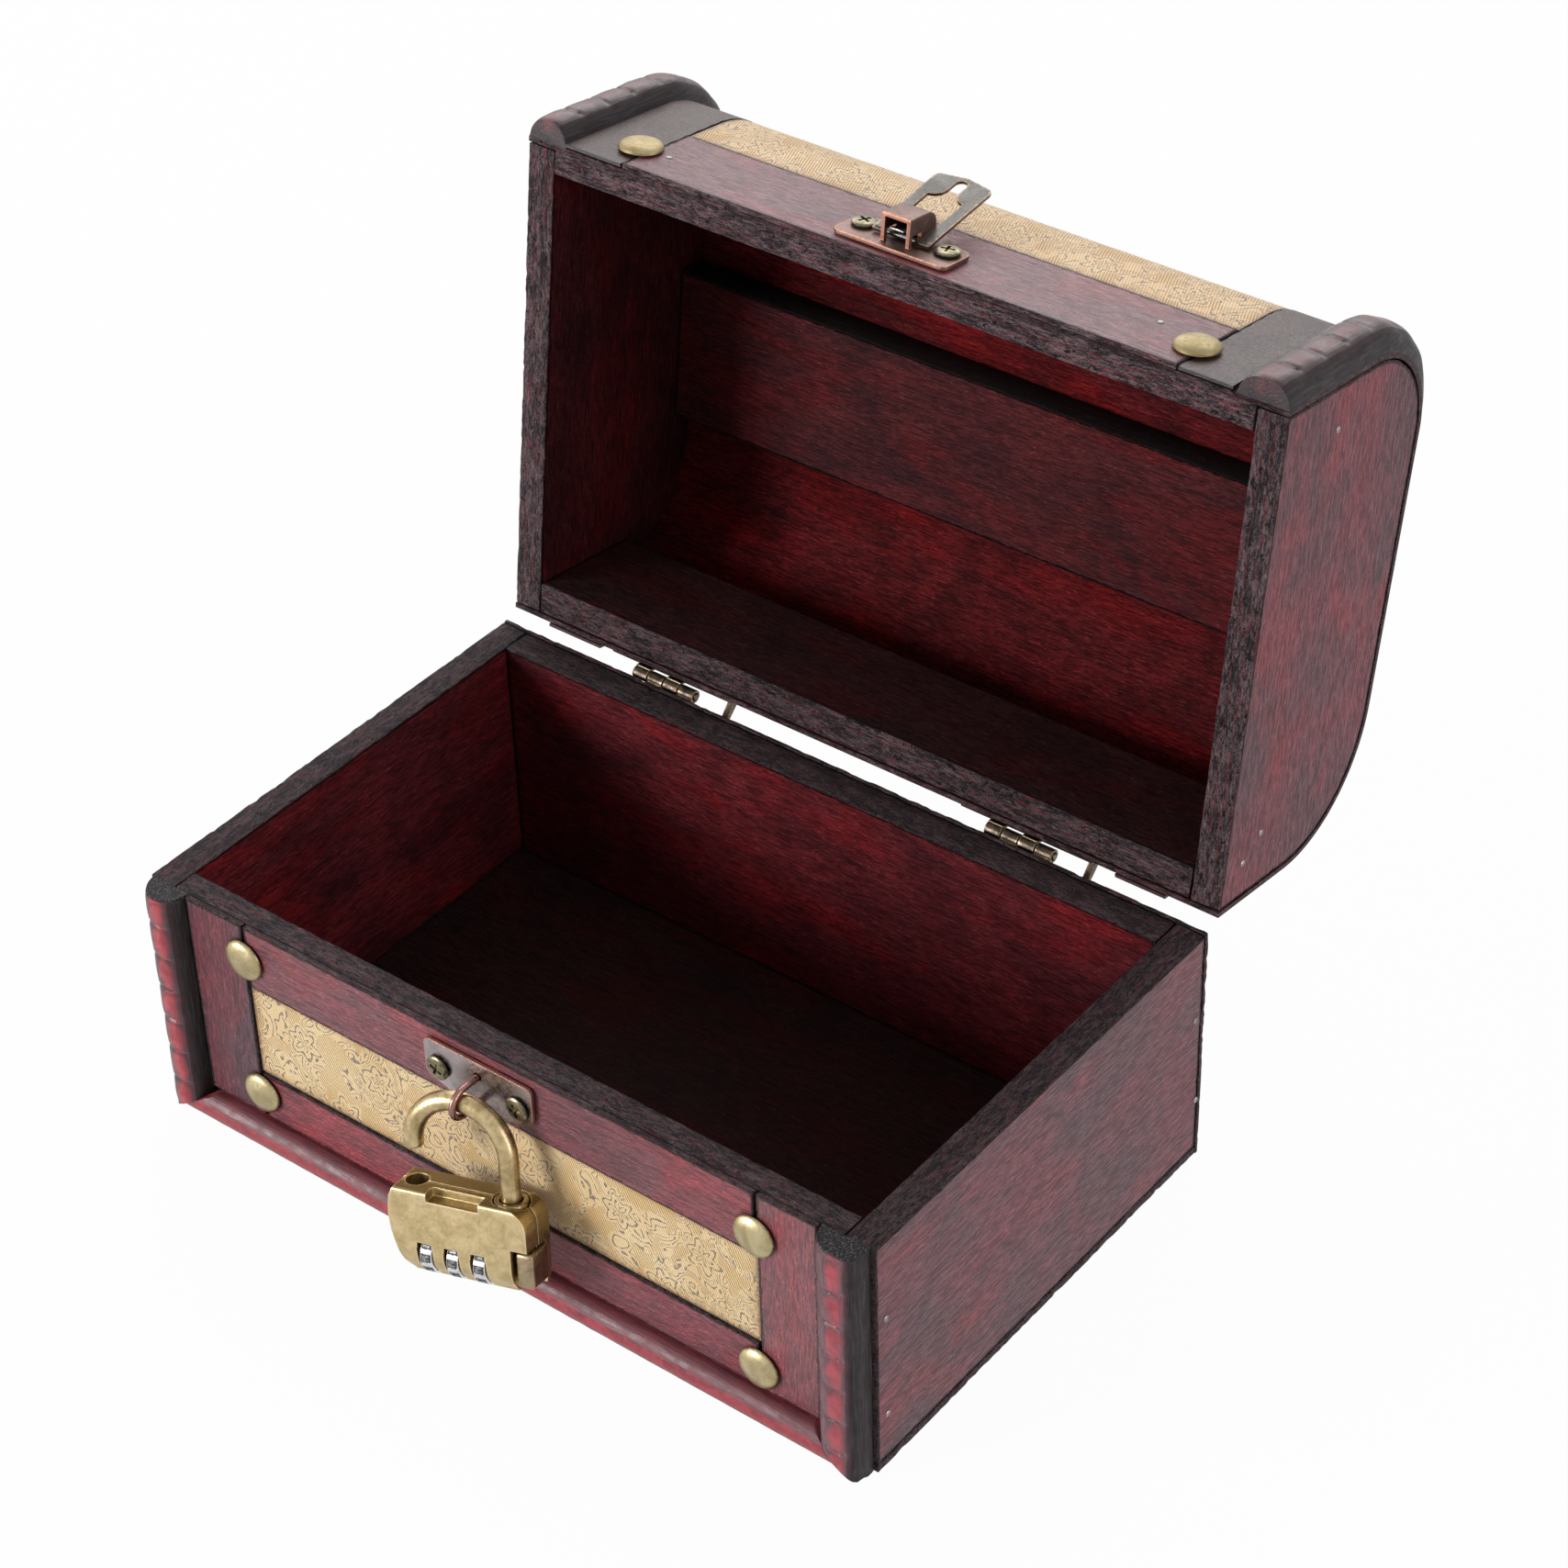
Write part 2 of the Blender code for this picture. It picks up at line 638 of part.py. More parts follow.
def lid_moulding(name, middle_x):
    """Notched moulding up the lid's front, round its corner and thinning out."""
    height = MOULDING_PROUD + LID_SHEET_INSET - FIT
    corner = LID_HEIGHT - LID_FRONT_HEIGHT + FIT
    straight = LID_FRONT_HEIGHT
    quarter = corner * math.pi / 2
    seat = LID_SHEET_FRONT - FIT
    rings = []
    for station, loss in notch_stations(straight + quarter):
        turn = max(station - straight, 0) / corner
        origin = Vector((0, seat, RIM + station))
        if turn > 0:
            origin.y = seat + corner * (1 - math.cos(turn))
            origin.z = RIM + straight + corner * math.sin(turn)
        normal = Vector((0, -math.cos(turn), math.sin(turn)))
        past = max(turn / (math.pi / 2) - THIN_FROM_SHARE, 0) / (1 - THIN_FROM_SHARE)
        thin = 1 - past * (1 - THIN_END_SHARE)
        rings.append([Vector((middle_x + across, 0, 0)) + origin + normal * up
                      for across, up in dome_points((height - loss) * thin)])
    bm = bmesh.new()
    add_rings(bm, rings)
    return make(name, bm, MOULDING_WOOD)


lid_left_moulding = lid_moulding("lid_left_moulding", -MOULDING_X)
lid_right_moulding = lid_moulding("lid_right_moulding", MOULDING_X)


# Hinges
def leaf_outline_box(bm, low_x, high_x, face, near, far):
    add_box(bm, (low_x, face + LEAF_IN, min(near, far)), (high_x, face + LEAF_IN + LEAF_THICK, max(near, far)))


def hinge_leaf(name, middle_x, side, knuckles):
    """A leaf with its two knuckles; side is -1 on the base and 1 on the lid."""
    near = AXIS_Z + side * LEAF_CLEAR
    far = near + side * LEAF_HEIGHT
    step = BARREL_LENGTH / 4
    bm = bmesh.new()
    leaf_outline_box(bm, middle_x - LEAF_WIDTH / 2, middle_x + LEAF_WIDTH / 2, BACK_FACE, near, far)
    leaf = make(name, bm, BRASS)
    for index in knuckles:
        low_x = middle_x - BARREL_LENGTH / 2 + index * step + FIT / 2
        high_x = low_x + step - FIT
        web = bmesh.new()
        leaf_outline_box(web, low_x, high_x, BACK_FACE, AXIS_Z, near + side * FIT)
        join(leaf, make("web", web))
        ring = bmesh.new()
        frame = facing((1, 0, 0), (low_x, AXIS_Y, AXIS_Z))
        add_turned(ring, [(BARREL_RADIUS, 0), (BARREL_RADIUS, high_x - low_x)], frame, 16)
        join(leaf, make("knuckle", ring))
    bore = bmesh.new()
    start = middle_x - BARREL_LENGTH / 2 - OVERRUN
    frame = facing((1, 0, 0), (start, AXIS_Y, AXIS_Z))
    add_turned(bore, [(PIN_RADIUS + FIT, 0), (PIN_RADIUS + FIT, BARREL_LENGTH + 2 * OVERRUN)], frame, 12)
    cut([leaf], make("bore", bore))
    return leaf


def hinge_stop(leaf, middle_x):
    """Bent arm at the leaf's right end, which the open lid's leaf rests on."""
    high_x = middle_x + LEAF_WIDTH / 2
    root_y = BACK_FACE + LEAF_IN
    tip_y = AXIS_Y + STOP_REACH
    tip_z = AXIS_Z
    root_z = AXIS_Z - STOP_DROP
    outline = [
        (root_y, root_z), (root_y, root_z - STOP_THICK), (root_y + LEAF_THICK, root_z - STOP_THICK),
        (tip_y + STOP_THICK, tip_z - STOP_THICK), (tip_y + STOP_THICK, tip_z), (tip_y, tip_z),
        (root_y + LEAF_THICK, root_z),
    ]
    bm = bmesh.new()
    add_prism(bm, outline, high_x - STOP_WIDTH, high_x)
    join(leaf, make("stop", bm))


def hinge_pin(name, middle_x):
    bm = bmesh.new()
    frame = facing((1, 0, 0), (middle_x - BARREL_LENGTH / 2, AXIS_Y, AXIS_Z))
    add_turned(bm, [(PIN_RADIUS, 0), (PIN_RADIUS, BARREL_LENGTH)], frame, 10)
    return make(name, bm, BRASS)


lid_leaves = []
for hinge_side, hinge_x in (("left", -HALF + LEFT_HINGE_INSET), ("right", HALF - RIGHT_HINGE_INSET)):
    base_leaf = hinge_leaf(hinge_side + "_hinge_base_leaf", hinge_x, -1, (1, 3))
    hinge_stop(base_leaf, hinge_x)
    lid_leaves.append(hinge_leaf(hinge_side + "_hinge_lid_leaf", hinge_x, 1, (0, 2)))
    hinge_pin(hinge_side + "_hinge_pin", hinge_x)


# Hasp plates, staple, bridge and strap
# Half outline of a hasp plate: shares of its half width and of its depth
PLATE_SHARES = ((1.0, 0.0), (1.0, 0.69), (0.62, 0.80), (0.35, 1.0))


def plate_outline(toward):
    """Hasp plate's outline from its rim edge; toward is -1 on the base."""
    side = [(PLATE_WIDTH / 2 * across, PLATE_DEPTH * down) for across, down in PLATE_SHARES]
    points = side + [(-x, v) for x, v in side[::-1]]
    edge = BASE_HEIGHT - HASP_EDGE if toward < 0 else RIM + HASP_EDGE
    return [(HASP_X + x, edge + toward * v) for x, v in points]


TO_FRONT = Matrix(((0, 1, 0, 0), (1, 0, 0, 0), (0, 0, 1, 0), (0, 0, 0, 1)))


def front_prism(name, outline, low_y, high_y, mat=None):
    """Extrude an (x, z) outline along Y."""
    bm = bmesh.new()
    add_prism(bm, outline, low_y, high_y, TO_FRONT)
    return make(name, bm, mat)


base_hasp_plate = front_prism("base_hasp_plate", plate_outline(-1), BASE_PLATE_FACE, FRONT - FIT, COPPER)
lid_hasp_plate = front_prism("lid_hasp_plate", plate_outline(1), LID_PLATE_FACE, LID_FACE - FIT, COPPER)


def hasp_staple():
    """Wire loop in an upright plane, both legs through the base's plate."""
    root = FRONT + STAPLE_ROOT
    path = [(root, STAPLE_HIGH)]
    path += arc(STAPLE_TIP + STAPLE_BEND, LOCK_Z, STAPLE_BEND, 90, 270, 10)
    path.append((root, STAPLE_LOW))
    bm = bmesh.new()
    add_tube(bm, [Vector((HASP_X, y, z)) for y, z in path], STAPLE_RADIUS, 10, (1, 0, 0))
    holes = bmesh.new()
    for z in (STAPLE_HIGH, STAPLE_LOW):
        frame = facing((0, 1, 0), (HASP_X, BASE_PLATE_FACE - OVERRUN, z))
        depth = root - BASE_PLATE_FACE + OVERRUN + FIT
        add_turned(holes, [(STAPLE_RADIUS + FIT, 0), (STAPLE_RADIUS + FIT, depth)], frame, 10)
    cut([base_hasp_plate, base_top_strip, base_front_panel], make("staple_holes", holes))
    return make("hasp_staple", bm, COPPER)


base_hasp_staple = hasp_staple()


def hasp_bridge():
    """Raised bridge on the lid's plate: open at the rim side, round behind."""
    near = RIM + BRIDGE_NEAR
    far = near + BRIDGE_LENGTH
    face = LID_PLATE_FACE
    top = face - BRIDGE_RISE
    sunk = face + PLATE_THICK / 2
    outline = [(sunk, near), (top, near)]
    outline += arc(top + BRIDGE_ROUND, far - BRIDGE_ROUND, BRIDGE_ROUND, 180, 90, 5)
    outline.append((sunk, far))
    half = BRIDGE_WIDTH / 2
    bm = bmesh.new()
    add_prism(bm, outline, HASP_X - half, HASP_X + half)
    bridge = make("bridge", bm)
    hollow = bmesh.new()
    add_box(hollow, (HASP_X - half + BRIDGE_WALL, top + BRIDGE_WALL, near - OVERRUN),
            (HASP_X + half - BRIDGE_WALL, sunk + OVERRUN, far - BRIDGE_WALL))
    cut([bridge], make("hollow", hollow))
    window = bmesh.new()
    add_box(window, (HASP_X - half - OVERRUN, STRAP_Y - WINDOW_HALF, STRAP_Z - WINDOW_HALF),
            (HASP_X + half + OVERRUN, sunk + OVERRUN, STRAP_Z + WINDOW_HALF))
    cut([bridge], make("window", window))
    join(lid_hasp_plate, bridge)


hasp_bridge()


def hasp_spring():
    """Leaf spring in the bridge that presses on the strap's bar."""
    base = LID_PLATE_FACE - FIT
    over = STRAP_Y - STRAP_BAR_RADIUS - FIT - SPRING_THICK
    far = RIM + BRIDGE_NEAR + BRIDGE_LENGTH - BRIDGE_WALL - FIT
    line = [
        (base, far), (base, STRAP_Z + STRAP_AXIS_OUT + WINDOW_HALF),
        (over, STRAP_Z + STRAP_BAR_RADIUS), (over - STRAP_BAR_RADIUS, RIM + BRIDGE_NEAR + FIT),
    ]
    outline = line + [(y - SPRING_THICK, z) for y, z in line[::-1]]
    bm = bmesh.new()
    add_prism(bm, outline, HASP_X - SPRING_WIDTH / 2, HASP_X + SPRING_WIDTH / 2)
    return make("hasp_spring", bm, BLACK_STEEL)


spring = hasp_spring()


def hasp_strap():
    """Flat strap with a keyhole opening, modelled closed, hanging from its bar."""
    half = STRAP_WIDTH / 2
    low_y, high_y = STRAP_Y - STRAP_THICK / 2, STRAP_Y + STRAP_THICK / 2
    far = STRAP_Z - STRAP_LENGTH
    outline = [(HASP_X + half, STRAP_Z + STRAP_HEEL)]
    outline += arc(HASP_X + half - STRAP_CORNER, far + STRAP_BOW + STRAP_CORNER, STRAP_CORNER, 0, -90, 4)
    outline.append((HASP_X, far))
    outline += arc(HASP_X - half + STRAP_CORNER, far + STRAP_BOW + STRAP_CORNER, STRAP_CORNER, -90, -180, 4)
    outline.append((HASP_X - half, STRAP_Z + STRAP_HEEL))
    strap = front_prism("hasp_strap", outline, low_y, high_y, DARK_STEEL)
    wide, narrow = KEY_WIDTH / 2, LOBE_WIDTH / 2
    shoulder = wide - narrow
    right = [(wide, -STRAP_HEEL), (wide, KEY_LENGTH - FIT)]
    right += [(narrow + shoulder * (1 - math.sin(math.radians(a))), KEY_LENGTH + shoulder * (1 - math.cos(math.radians(a))))
              for a in (0, 30, 60, 90)]
    right += [(a, LOBE_LENGTH - narrow + b) for a, b in arc(0, 0, narrow, 0, 90, 4)]
    key = right + [(-a, b) for a, b in right[::-1][1:]]
    hole = front_prism("key", [(HASP_X + a, STRAP_Z - b) for a, b in key], low_y - OVERRUN, high_y + OVERRUN)
    cut([strap], hole)
    bar = bmesh.new()
    frame = facing((1, 0, 0), (HASP_X - half + FIT, STRAP_Y, STRAP_Z))
    add_turned(bar, [(STRAP_BAR_RADIUS, 0), (STRAP_BAR_RADIUS, STRAP_WIDTH - 2 * FIT)], frame, 12)
    join(strap, make("bar", bar))
    return strap


strap = hasp_strap()


# Nails and screws, with their holes
def dome_head(radius, rise):
    head = [(radius, FIT)]
    for i in range(1, 5):
        angle = math.radians(90 * i / 5)
        head.append((radius * math.cos(angle), FIT + rise * math.sin(angle)))
    return head


# Outline of a screw head: shares of its radius and of its rise
SCREW_HEAD_SHARES = ((1.0, 0.0), (1.0, 0.6), (0.8, 1.0))


def flat_head(radius, rise):
    return [(radius * out, FIT + rise * up) for out, up in SCREW_HEAD_SHARES]


nail_frames = []
for sign, drop, up in ((-1, LEFT_NAIL_DROP, LEFT_NAIL_UP), (1, RIGHT_NAIL_DROP, RIGHT_NAIL_UP)):
    for nail_z in (BASE_HEIGHT - drop, up):
        nail_frames.append(facing((0, -1, 0), (sign * (WINDOW_X - SLIT / 2), FRONT, nail_z)))
base_nails = fasteners(
    "base_dome_nails", nail_frames, dome_head(NAIL_RADIUS, NAIL_RISE), NAIL_SHANK, NAIL_LENGTH, BRASS,
    [base_front_panel, base_left_strip, base_right_strip, base_top_strip, base_low_strip], 20)

lid_nail_frames = []
for nail_x in (-HALF + LEFT_LID_NAIL_INSET, HALF - RIGHT_LID_NAIL_INSET):
    lid_nail_frames.append(facing((0, -1, 0), (nail_x, LID_FACE, RIM + LID_NAIL_HEIGHT)))
lid_nails = fasteners(
    "lid_dome_nails", lid_nail_frames, dome_head(NAIL_RADIUS, NAIL_RISE), NAIL_SHANK, NAIL_LENGTH, BRASS,
    [lid_front_rail, lid_roof_sheet, lid_front_strip, lid_left_leather, lid_right_leather], 20)


def screw_frames(face, z):
    return [facing((0, -1, 0), (HASP_X + sign * SCREW_OFFSET, face, z)) for sign in (-1, 1)]


base_screws = fasteners(
    "base_hasp_screws", screw_frames(BASE_PLATE_FACE, BASE_HEIGHT - HASP_EDGE - SCREW_EDGE),
    flat_head(SCREW_RADIUS, SCREW_RISE), SCREW_SHANK, SCREW_LENGTH, BRASS,
    [base_hasp_plate, base_top_strip, base_front_panel], 16)
lid_screws = fasteners(
    "lid_hasp_screws", screw_frames(LID_PLATE_FACE, RIM + HASP_EDGE + SCREW_EDGE),
    flat_head(SCREW_RADIUS, SCREW_RISE), SCREW_SHANK, SCREW_LENGTH, BRASS,
    [lid_hasp_plate, lid_front_strip, lid_roof_sheet, lid_front_rail], 16)


# Padlock, modelled upright in its own frame with its origin in the arch
# Bowed left side of the lock: shares of its left reach and of its height
LOCK_SIDE_SHARES = ((0.95, 0.0), (1.0, 0.10), (1.0, 0.30), (0.96, 0.52), (0.88, 0.76), (0.80, 0.93))


def lock_outline():
    """(x, z) outline: bowed left side, flat foot, round top right corner."""
    foot = -LOCK_TOP - LOCK_HEIGHT
    points = [(-LOCK_LEFT * a, -LOCK_TOP - LOCK_HEIGHT * b) for a, b in LOCK_SIDE_SHARES]
    points.append((-LOCK_FOOT, foot))
    points += arc(LOCK_RIGHT - LOCK_SOFT, foot + LOCK_SOFT, LOCK_SOFT, -90, 0, 3)
    points += arc(LOCK_RIGHT - LOCK_ROUND, -LOCK_TOP - LOCK_ROUND, LOCK_ROUND, 0, 90, 6)
    return points


def lock_section():
    """(y, z) outline that rounds the lock's edges, most of all its foot."""
    half = LOCK_THICK / 2
    foot = -LOCK_TOP - LOCK_HEIGHT
    low = LOCK_BOTTOM_ROUND
    points = arc(half - low, foot + low, low, -90, 0, 6)
    points += arc(half - LOCK_SOFT, -LOCK_TOP - LOCK_SOFT, LOCK_SOFT, 0, 90, 3)
    points += arc(-half + LOCK_SOFT, -LOCK_TOP - LOCK_SOFT, LOCK_SOFT, 90, 180, 3)
    points += arc(-half + low, foot + low, low, 180, 270, 6)
    return points


def lock_shell(name, low_y, high_y):
    shell = front_prism(name, lock_outline(), low_y, high_y, BRASS)
    rounding = bmesh.new()
    add_prism(rounding, lock_section(), -LOCK_LEFT - OVERRUN, LOCK_RIGHT + OVERRUN)
    combine([shell], make("rounding", rounding), "INTERSECT")
    return shell


lock_front = lock_shell("lock_front_shell", -LOCK_THICK, -FIT / 2)
lock_back = lock_shell("lock_back_shell", FIT / 2, LOCK_THICK)
SHELLS = [lock_front, lock_back]
DIAL_Z = -LOCK_TOP - LOCK_HEIGHT + DIAL_UP
DIAL_XS = [DIAL_MIDDLE + (i - 1) * DIAL_PITCH for i in range(3)]

lock_holes = bmesh.new()
hole_radius = SHACKLE_RADIUS + LEG_PLAY
for leg_x, depth in ((-LEG_HALF, SHORT_HOLE), (LEG_HALF, LONG_HOLE)):
    frame = facing((0, 0, 1), (leg_x, 0, -LOCK_TOP - depth))
    add_turned(lock_holes, [(hole_radius, 0), (hole_radius, depth + OVERRUN)], frame, 16)
cut(SHELLS, make("lock_holes", lock_holes))

collar_seat = bmesh.new()
seat_frame = facing((0, 0, 1), (LEG_HALF, 0, -LOCK_TOP - COLLAR_HEIGHT - FIT))
add_turned(collar_seat, [(COLLAR_RADIUS + FIT, 0), (COLLAR_RADIUS + FIT, COLLAR_HEIGHT + OVERRUN)], seat_frame, 16)
cut(SHELLS, make("collar_seat", collar_seat))

step_cut = bmesh.new()
add_box(step_cut, (-RECESS_LEFT, -LOCK_THICK, -LOCK_TOP - RECESS_DEPTH),
        (RECESS_RIGHT, -RECESS_WALL, -LOCK_TOP + OVERRUN))
cut([lock_front], make("step_cut", step_cut))

dial_rooms = bmesh.new()
room_half = DIAL_WIDTH / 2 + FIT
for dial_x in DIAL_XS:
    frame = facing((1, 0, 0), (dial_x - room_half, 0, DIAL_Z))
    add_turned(dial_rooms, [(DIAL_RADIUS + FIT, 0), (DIAL_RADIUS + FIT, 2 * room_half)], frame, 24)
cut(SHELLS, make("dial_rooms", dial_rooms))

axle_start = DIAL_XS[0] - room_half - AXLE_OVERHANG
axle_length = DIAL_XS[-1] + room_half - axle_start
axle_hole = bmesh.new()
frame = facing((1, 0, 0), (axle_start - FIT, 0, DIAL_Z))
add_turned(axle_hole, [(AXLE_RADIUS + FIT, 0), (AXLE_RADIUS + FIT, axle_length + FIT)], frame, 10)
cut(SHELLS, make("axle_hole", axle_hole))

lever_x = LEG_HALF + LEVER_WALL + FIT
lever_z = -LOCK_TOP - LOCK_HEIGHT + LEVER_UP
lever_room = bmesh.new()
add_box(lever_room, (lever_x - FIT, -LEVER_THICK / 2 - FIT, lever_z - LEVER_UP - OVERRUN),
        (LOCK_RIGHT + OVERRUN, LEVER_THICK / 2 + FIT, lever_z + LEVER_HEIGHT + FIT))
cut(SHELLS, make("lever_room", lever_room))


def padlock_shackle():
    path = [(LEG_HALF, -LEG_HALF - LONG_LEG)]
    path += arc(0, -LEG_HALF, LEG_HALF, 0, 180, 18)
    path.append((-LEG_HALF, -LEG_HALF - SHORT_LEG))
    bm = bmesh.new()
    add_tube(bm, [Vector((x, 0, z)) for x, z in path], SHACKLE_RADIUS, 14, (0, 1, 0))
    return make("padlock_shackle", bm, BRASS)


def ring_solid(name, frame, inner, outer, length, sides, mat):
    """A plain ring made of an outer cylinder with a bore."""
    bm = bmesh.new()
    add_turned(bm, [(outer, 0), (outer, length)], frame, sides)
    ring = make(name, bm, mat)
    bore = bmesh.new()
    move = Matrix.Translation((0, 0, -OVERRUN))
    add_turned(bore, [(inner, 0), (inner, length + 2 * OVERRUN)], frame @ move, sides)
    cut([ring], make("ring_bore", bore))
    return ring


shackle = padlock_shackle()
collar = ring_solid(
    "shackle_collar", facing((0, 0, 1), (LEG_HALF, 0, -LOCK_TOP - COLLAR_HEIGHT)),
    hole_radius, COLLAR_RADIUS, COLLAR_HEIGHT, 16, BRASS)

axle_bm = bmesh.new()
frame = facing((1, 0, 0), (axle_start, 0, DIAL_Z))
add_turned(axle_bm, [(AXLE_RADIUS, 0), (AXLE_RADIUS, axle_length - FIT)], frame, 10)
axle = make("dial_axle", axle_bm, BRASS)


def number_dial(index, dial_x):
    """Ten-sided dial with worn edges, on the axle."""
    half = DIAL_WIDTH / 2
    start = facing((1, 0, 0), (dial_x - half, 0, DIAL_Z))
    shoulder = DIAL_RADIUS - DIAL_GROOVE
    bm = bmesh.new()
    profile = [(shoulder, 0), (DIAL_RADIUS, DIAL_GROOVE), (DIAL_RADIUS, DIAL_WIDTH - DIAL_GROOVE), (shoulder, DIAL_WIDTH)]
    add_turned(bm, profile, start, 20)
    dial = make("number_dial_" + str(index), bm, SILVER)
    bore = bmesh.new()
    bore_frame = facing((1, 0, 0), (dial_x - half - OVERRUN, 0, DIAL_Z))
    add_turned(bore, [(AXLE_RADIUS + FIT, 0), (AXLE_RADIUS + FIT, DIAL_WIDTH + 2 * OVERRUN)], bore_frame, 10)
    cut([dial], make("dial_bore", bore))
    return dial


dials = [number_dial(i + 1, dial_x) for i, dial_x in enumerate(DIAL_XS)]


def release_lever():
    """Round-ended thumb slide in the lock's right side."""
    half = LEVER_THICK / 2
    outline = [(-half, 0), (half, 0), (half, LEVER_HEIGHT), (-half, LEVER_HEIGHT)]
    bm = bmesh.new()
    add_prism(bm, outline, 0, LEVER_WIDTH, Matrix.Translation((lever_x, 0, lever_z)))
    lever_obj = make("release_lever", bm, BRASS)
    bevel = lever_obj.modifiers.new("Bevel", "BEVEL")
    bevel.width = LEVER_ROUND
    bevel.segments = 3
    bevel.limit_method = "ANGLE"
    apply_modifiers(lever_obj)
    return lever_obj


lever = release_lever()


# The arch's highest point, once the lock is turned, hangs in the staple
HANG_POINT = (-LEG_HALF * math.sin(LOCK_ROLL), 0, LEG_HALF * (math.cos(LOCK_ROLL) - 1))


# Assembly: the moving pieces hang on empties that lie on their joints' axes
lid_axis = (0, AXIS_Y, AXIS_Z)
lid_pivot = pivot_empty("lid_pivot", lid_axis, (-OPEN_ANGLE, 0, 0))
LID_PIECES = [
    lid_left_side, lid_right_side, lid_front_rail, lid_back_rail, lid_roof_sheet, lid_inner_slat,
    lid_front_strip, lid_brocade, lid_left_leather, lid_right_leather, lid_left_moulding,
    lid_right_moulding, lid_hasp_plate, spring,
] + lid_nails + lid_screws + lid_leaves
attach(LID_PIECES, lid_pivot, lid_axis)

strap_axis = (HASP_X, STRAP_Y, STRAP_Z)
strap_place = Vector(strap_axis) - Vector(lid_axis)
strap_pivot = pivot_empty("strap_pivot", strap_place, (STRAP_LIFT - math.pi, 0, 0), lid_pivot)
attach([strap], strap_pivot, strap_axis)

lock_pivot = pivot_empty("lock_pivot", (HASP_X, LOCK_Y, LOCK_Z))
lock_turn = Matrix.Rotation(LOCK_YAW, 4, "Z") @ Matrix.Rotation(LOCK_LEAN, 4, "X") @ Matrix.Rotation(LOCK_ROLL, 4, "Y")
lock_pivot.rotation_euler = lock_turn.to_euler()
attach([shackle, lock_front, lock_back, collar, axle, lever], lock_pivot, HANG_POINT)
for dial, dial_x in zip(dials, DIAL_XS):
    centre = (dial_x, 0, DIAL_Z)
    attach([dial], lock_pivot, centre)
    dial.location = Vector(centre) - Vector(HANG_POINT)
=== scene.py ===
"""Looks of the domed jewelry box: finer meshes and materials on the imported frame."""
import json
import math

import bmesh
import bpy
from mathutils import Matrix, Vector, noise

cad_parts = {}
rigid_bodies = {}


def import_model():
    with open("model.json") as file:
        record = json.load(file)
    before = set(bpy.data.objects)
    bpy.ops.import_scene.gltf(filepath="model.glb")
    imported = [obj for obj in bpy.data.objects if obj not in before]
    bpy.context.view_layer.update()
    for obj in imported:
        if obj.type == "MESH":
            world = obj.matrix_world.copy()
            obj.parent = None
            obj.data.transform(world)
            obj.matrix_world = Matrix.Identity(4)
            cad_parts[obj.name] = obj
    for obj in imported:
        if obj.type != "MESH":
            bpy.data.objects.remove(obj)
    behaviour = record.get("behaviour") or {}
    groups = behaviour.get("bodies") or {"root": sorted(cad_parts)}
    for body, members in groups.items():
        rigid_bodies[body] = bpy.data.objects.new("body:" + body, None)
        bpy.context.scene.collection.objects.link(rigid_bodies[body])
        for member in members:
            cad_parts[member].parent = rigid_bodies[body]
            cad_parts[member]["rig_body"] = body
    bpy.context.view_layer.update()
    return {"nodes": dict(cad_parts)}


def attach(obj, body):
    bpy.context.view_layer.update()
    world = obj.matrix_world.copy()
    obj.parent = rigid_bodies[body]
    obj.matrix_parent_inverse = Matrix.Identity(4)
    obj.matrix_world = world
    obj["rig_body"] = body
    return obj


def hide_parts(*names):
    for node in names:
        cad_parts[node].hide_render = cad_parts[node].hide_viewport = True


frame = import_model()
NODES = frame["nodes"]
scene = bpy.context.scene
MM = 0.001

# Sizes of the box, in millimetres
HALF = 80.0
FRONT = -48.15
BACK_FACE = 49.4
FRAME_HALF = 69.2
BASE_HEIGHT = 51.2
RIM = 51.5
SHEET_FRONT = -47.3
LEATHER_X = 58.6
LID_FACE = -48.4
LID_FRONT_HEIGHT = 28.0
LID_HEIGHT = 47.6
CREST_DROP = 2.4
BACK_REACH = 23.6
BACK_HEIGHT = 21.3
CLOTH_FOOT = 11.2
CLOTH_FRONT = 19.3
STRIP_BACK = -47.25
FOOT_HALF = 79.0
FOOT_HEIGHT = 6.6
MOULDING_WIDTH = 10.5
MITRE = FOOT_HEIGHT / MOULDING_WIDTH
NOTCH_PITCH = 6.6
UPRIGHT_HEIGHT = 4.8
BOW_HEIGHT = 4.45
HASP_X = -1.6
BASE_PLATE_FACE = -49.15
LID_PLATE_FACE = -49.4
STAPLE_Z = 43.3
LOCK_TOP = 16.8
LOCK_HEIGHT = 16.5
LOCK_FOOT = -LOCK_TOP - LOCK_HEIGHT
LEG_HALF = 9.25
DIAL_Z = LOCK_FOOT + 3.7
DIAL_XS = (-6.1, -0.9, 4.3)
SHACKLE_WIRE = 1.8
LONG_LEG_FOOT = -21.35
SHORT_LEG_FOOT = -10.15
# How far the layers begin outside the lid's sheet, and how thick they and the sheet are
CLOTH_OUT = 0.8
LEATHER_OUT = 0.9
CLOTH_THICK = 0.5
LEATHER_THICK = 0.6
SHEET_THICK = 0.95
# How far the back of a strip or moulding goes through the CAD clearance behind it
SEAT = 0.28
# Cloth coordinates count in decimetres, and its ripples are this long
CLOTH_UNIT = 100
RIPPLE = 4.5
# The board attribute of a mesh without worn edges: far from a border, halfway, no narrow face
PLAIN = (1.0, 0.5, 0.0)


# Places of the moving pieces at rest. Their meshes are drawn closed or upright.
def rotation(degrees, axis):
    return Matrix.Rotation(math.radians(degrees), 4, axis)


def about(point, turn):
    return Matrix.Translation(point) @ turn @ Matrix.Translation(-Vector(point))


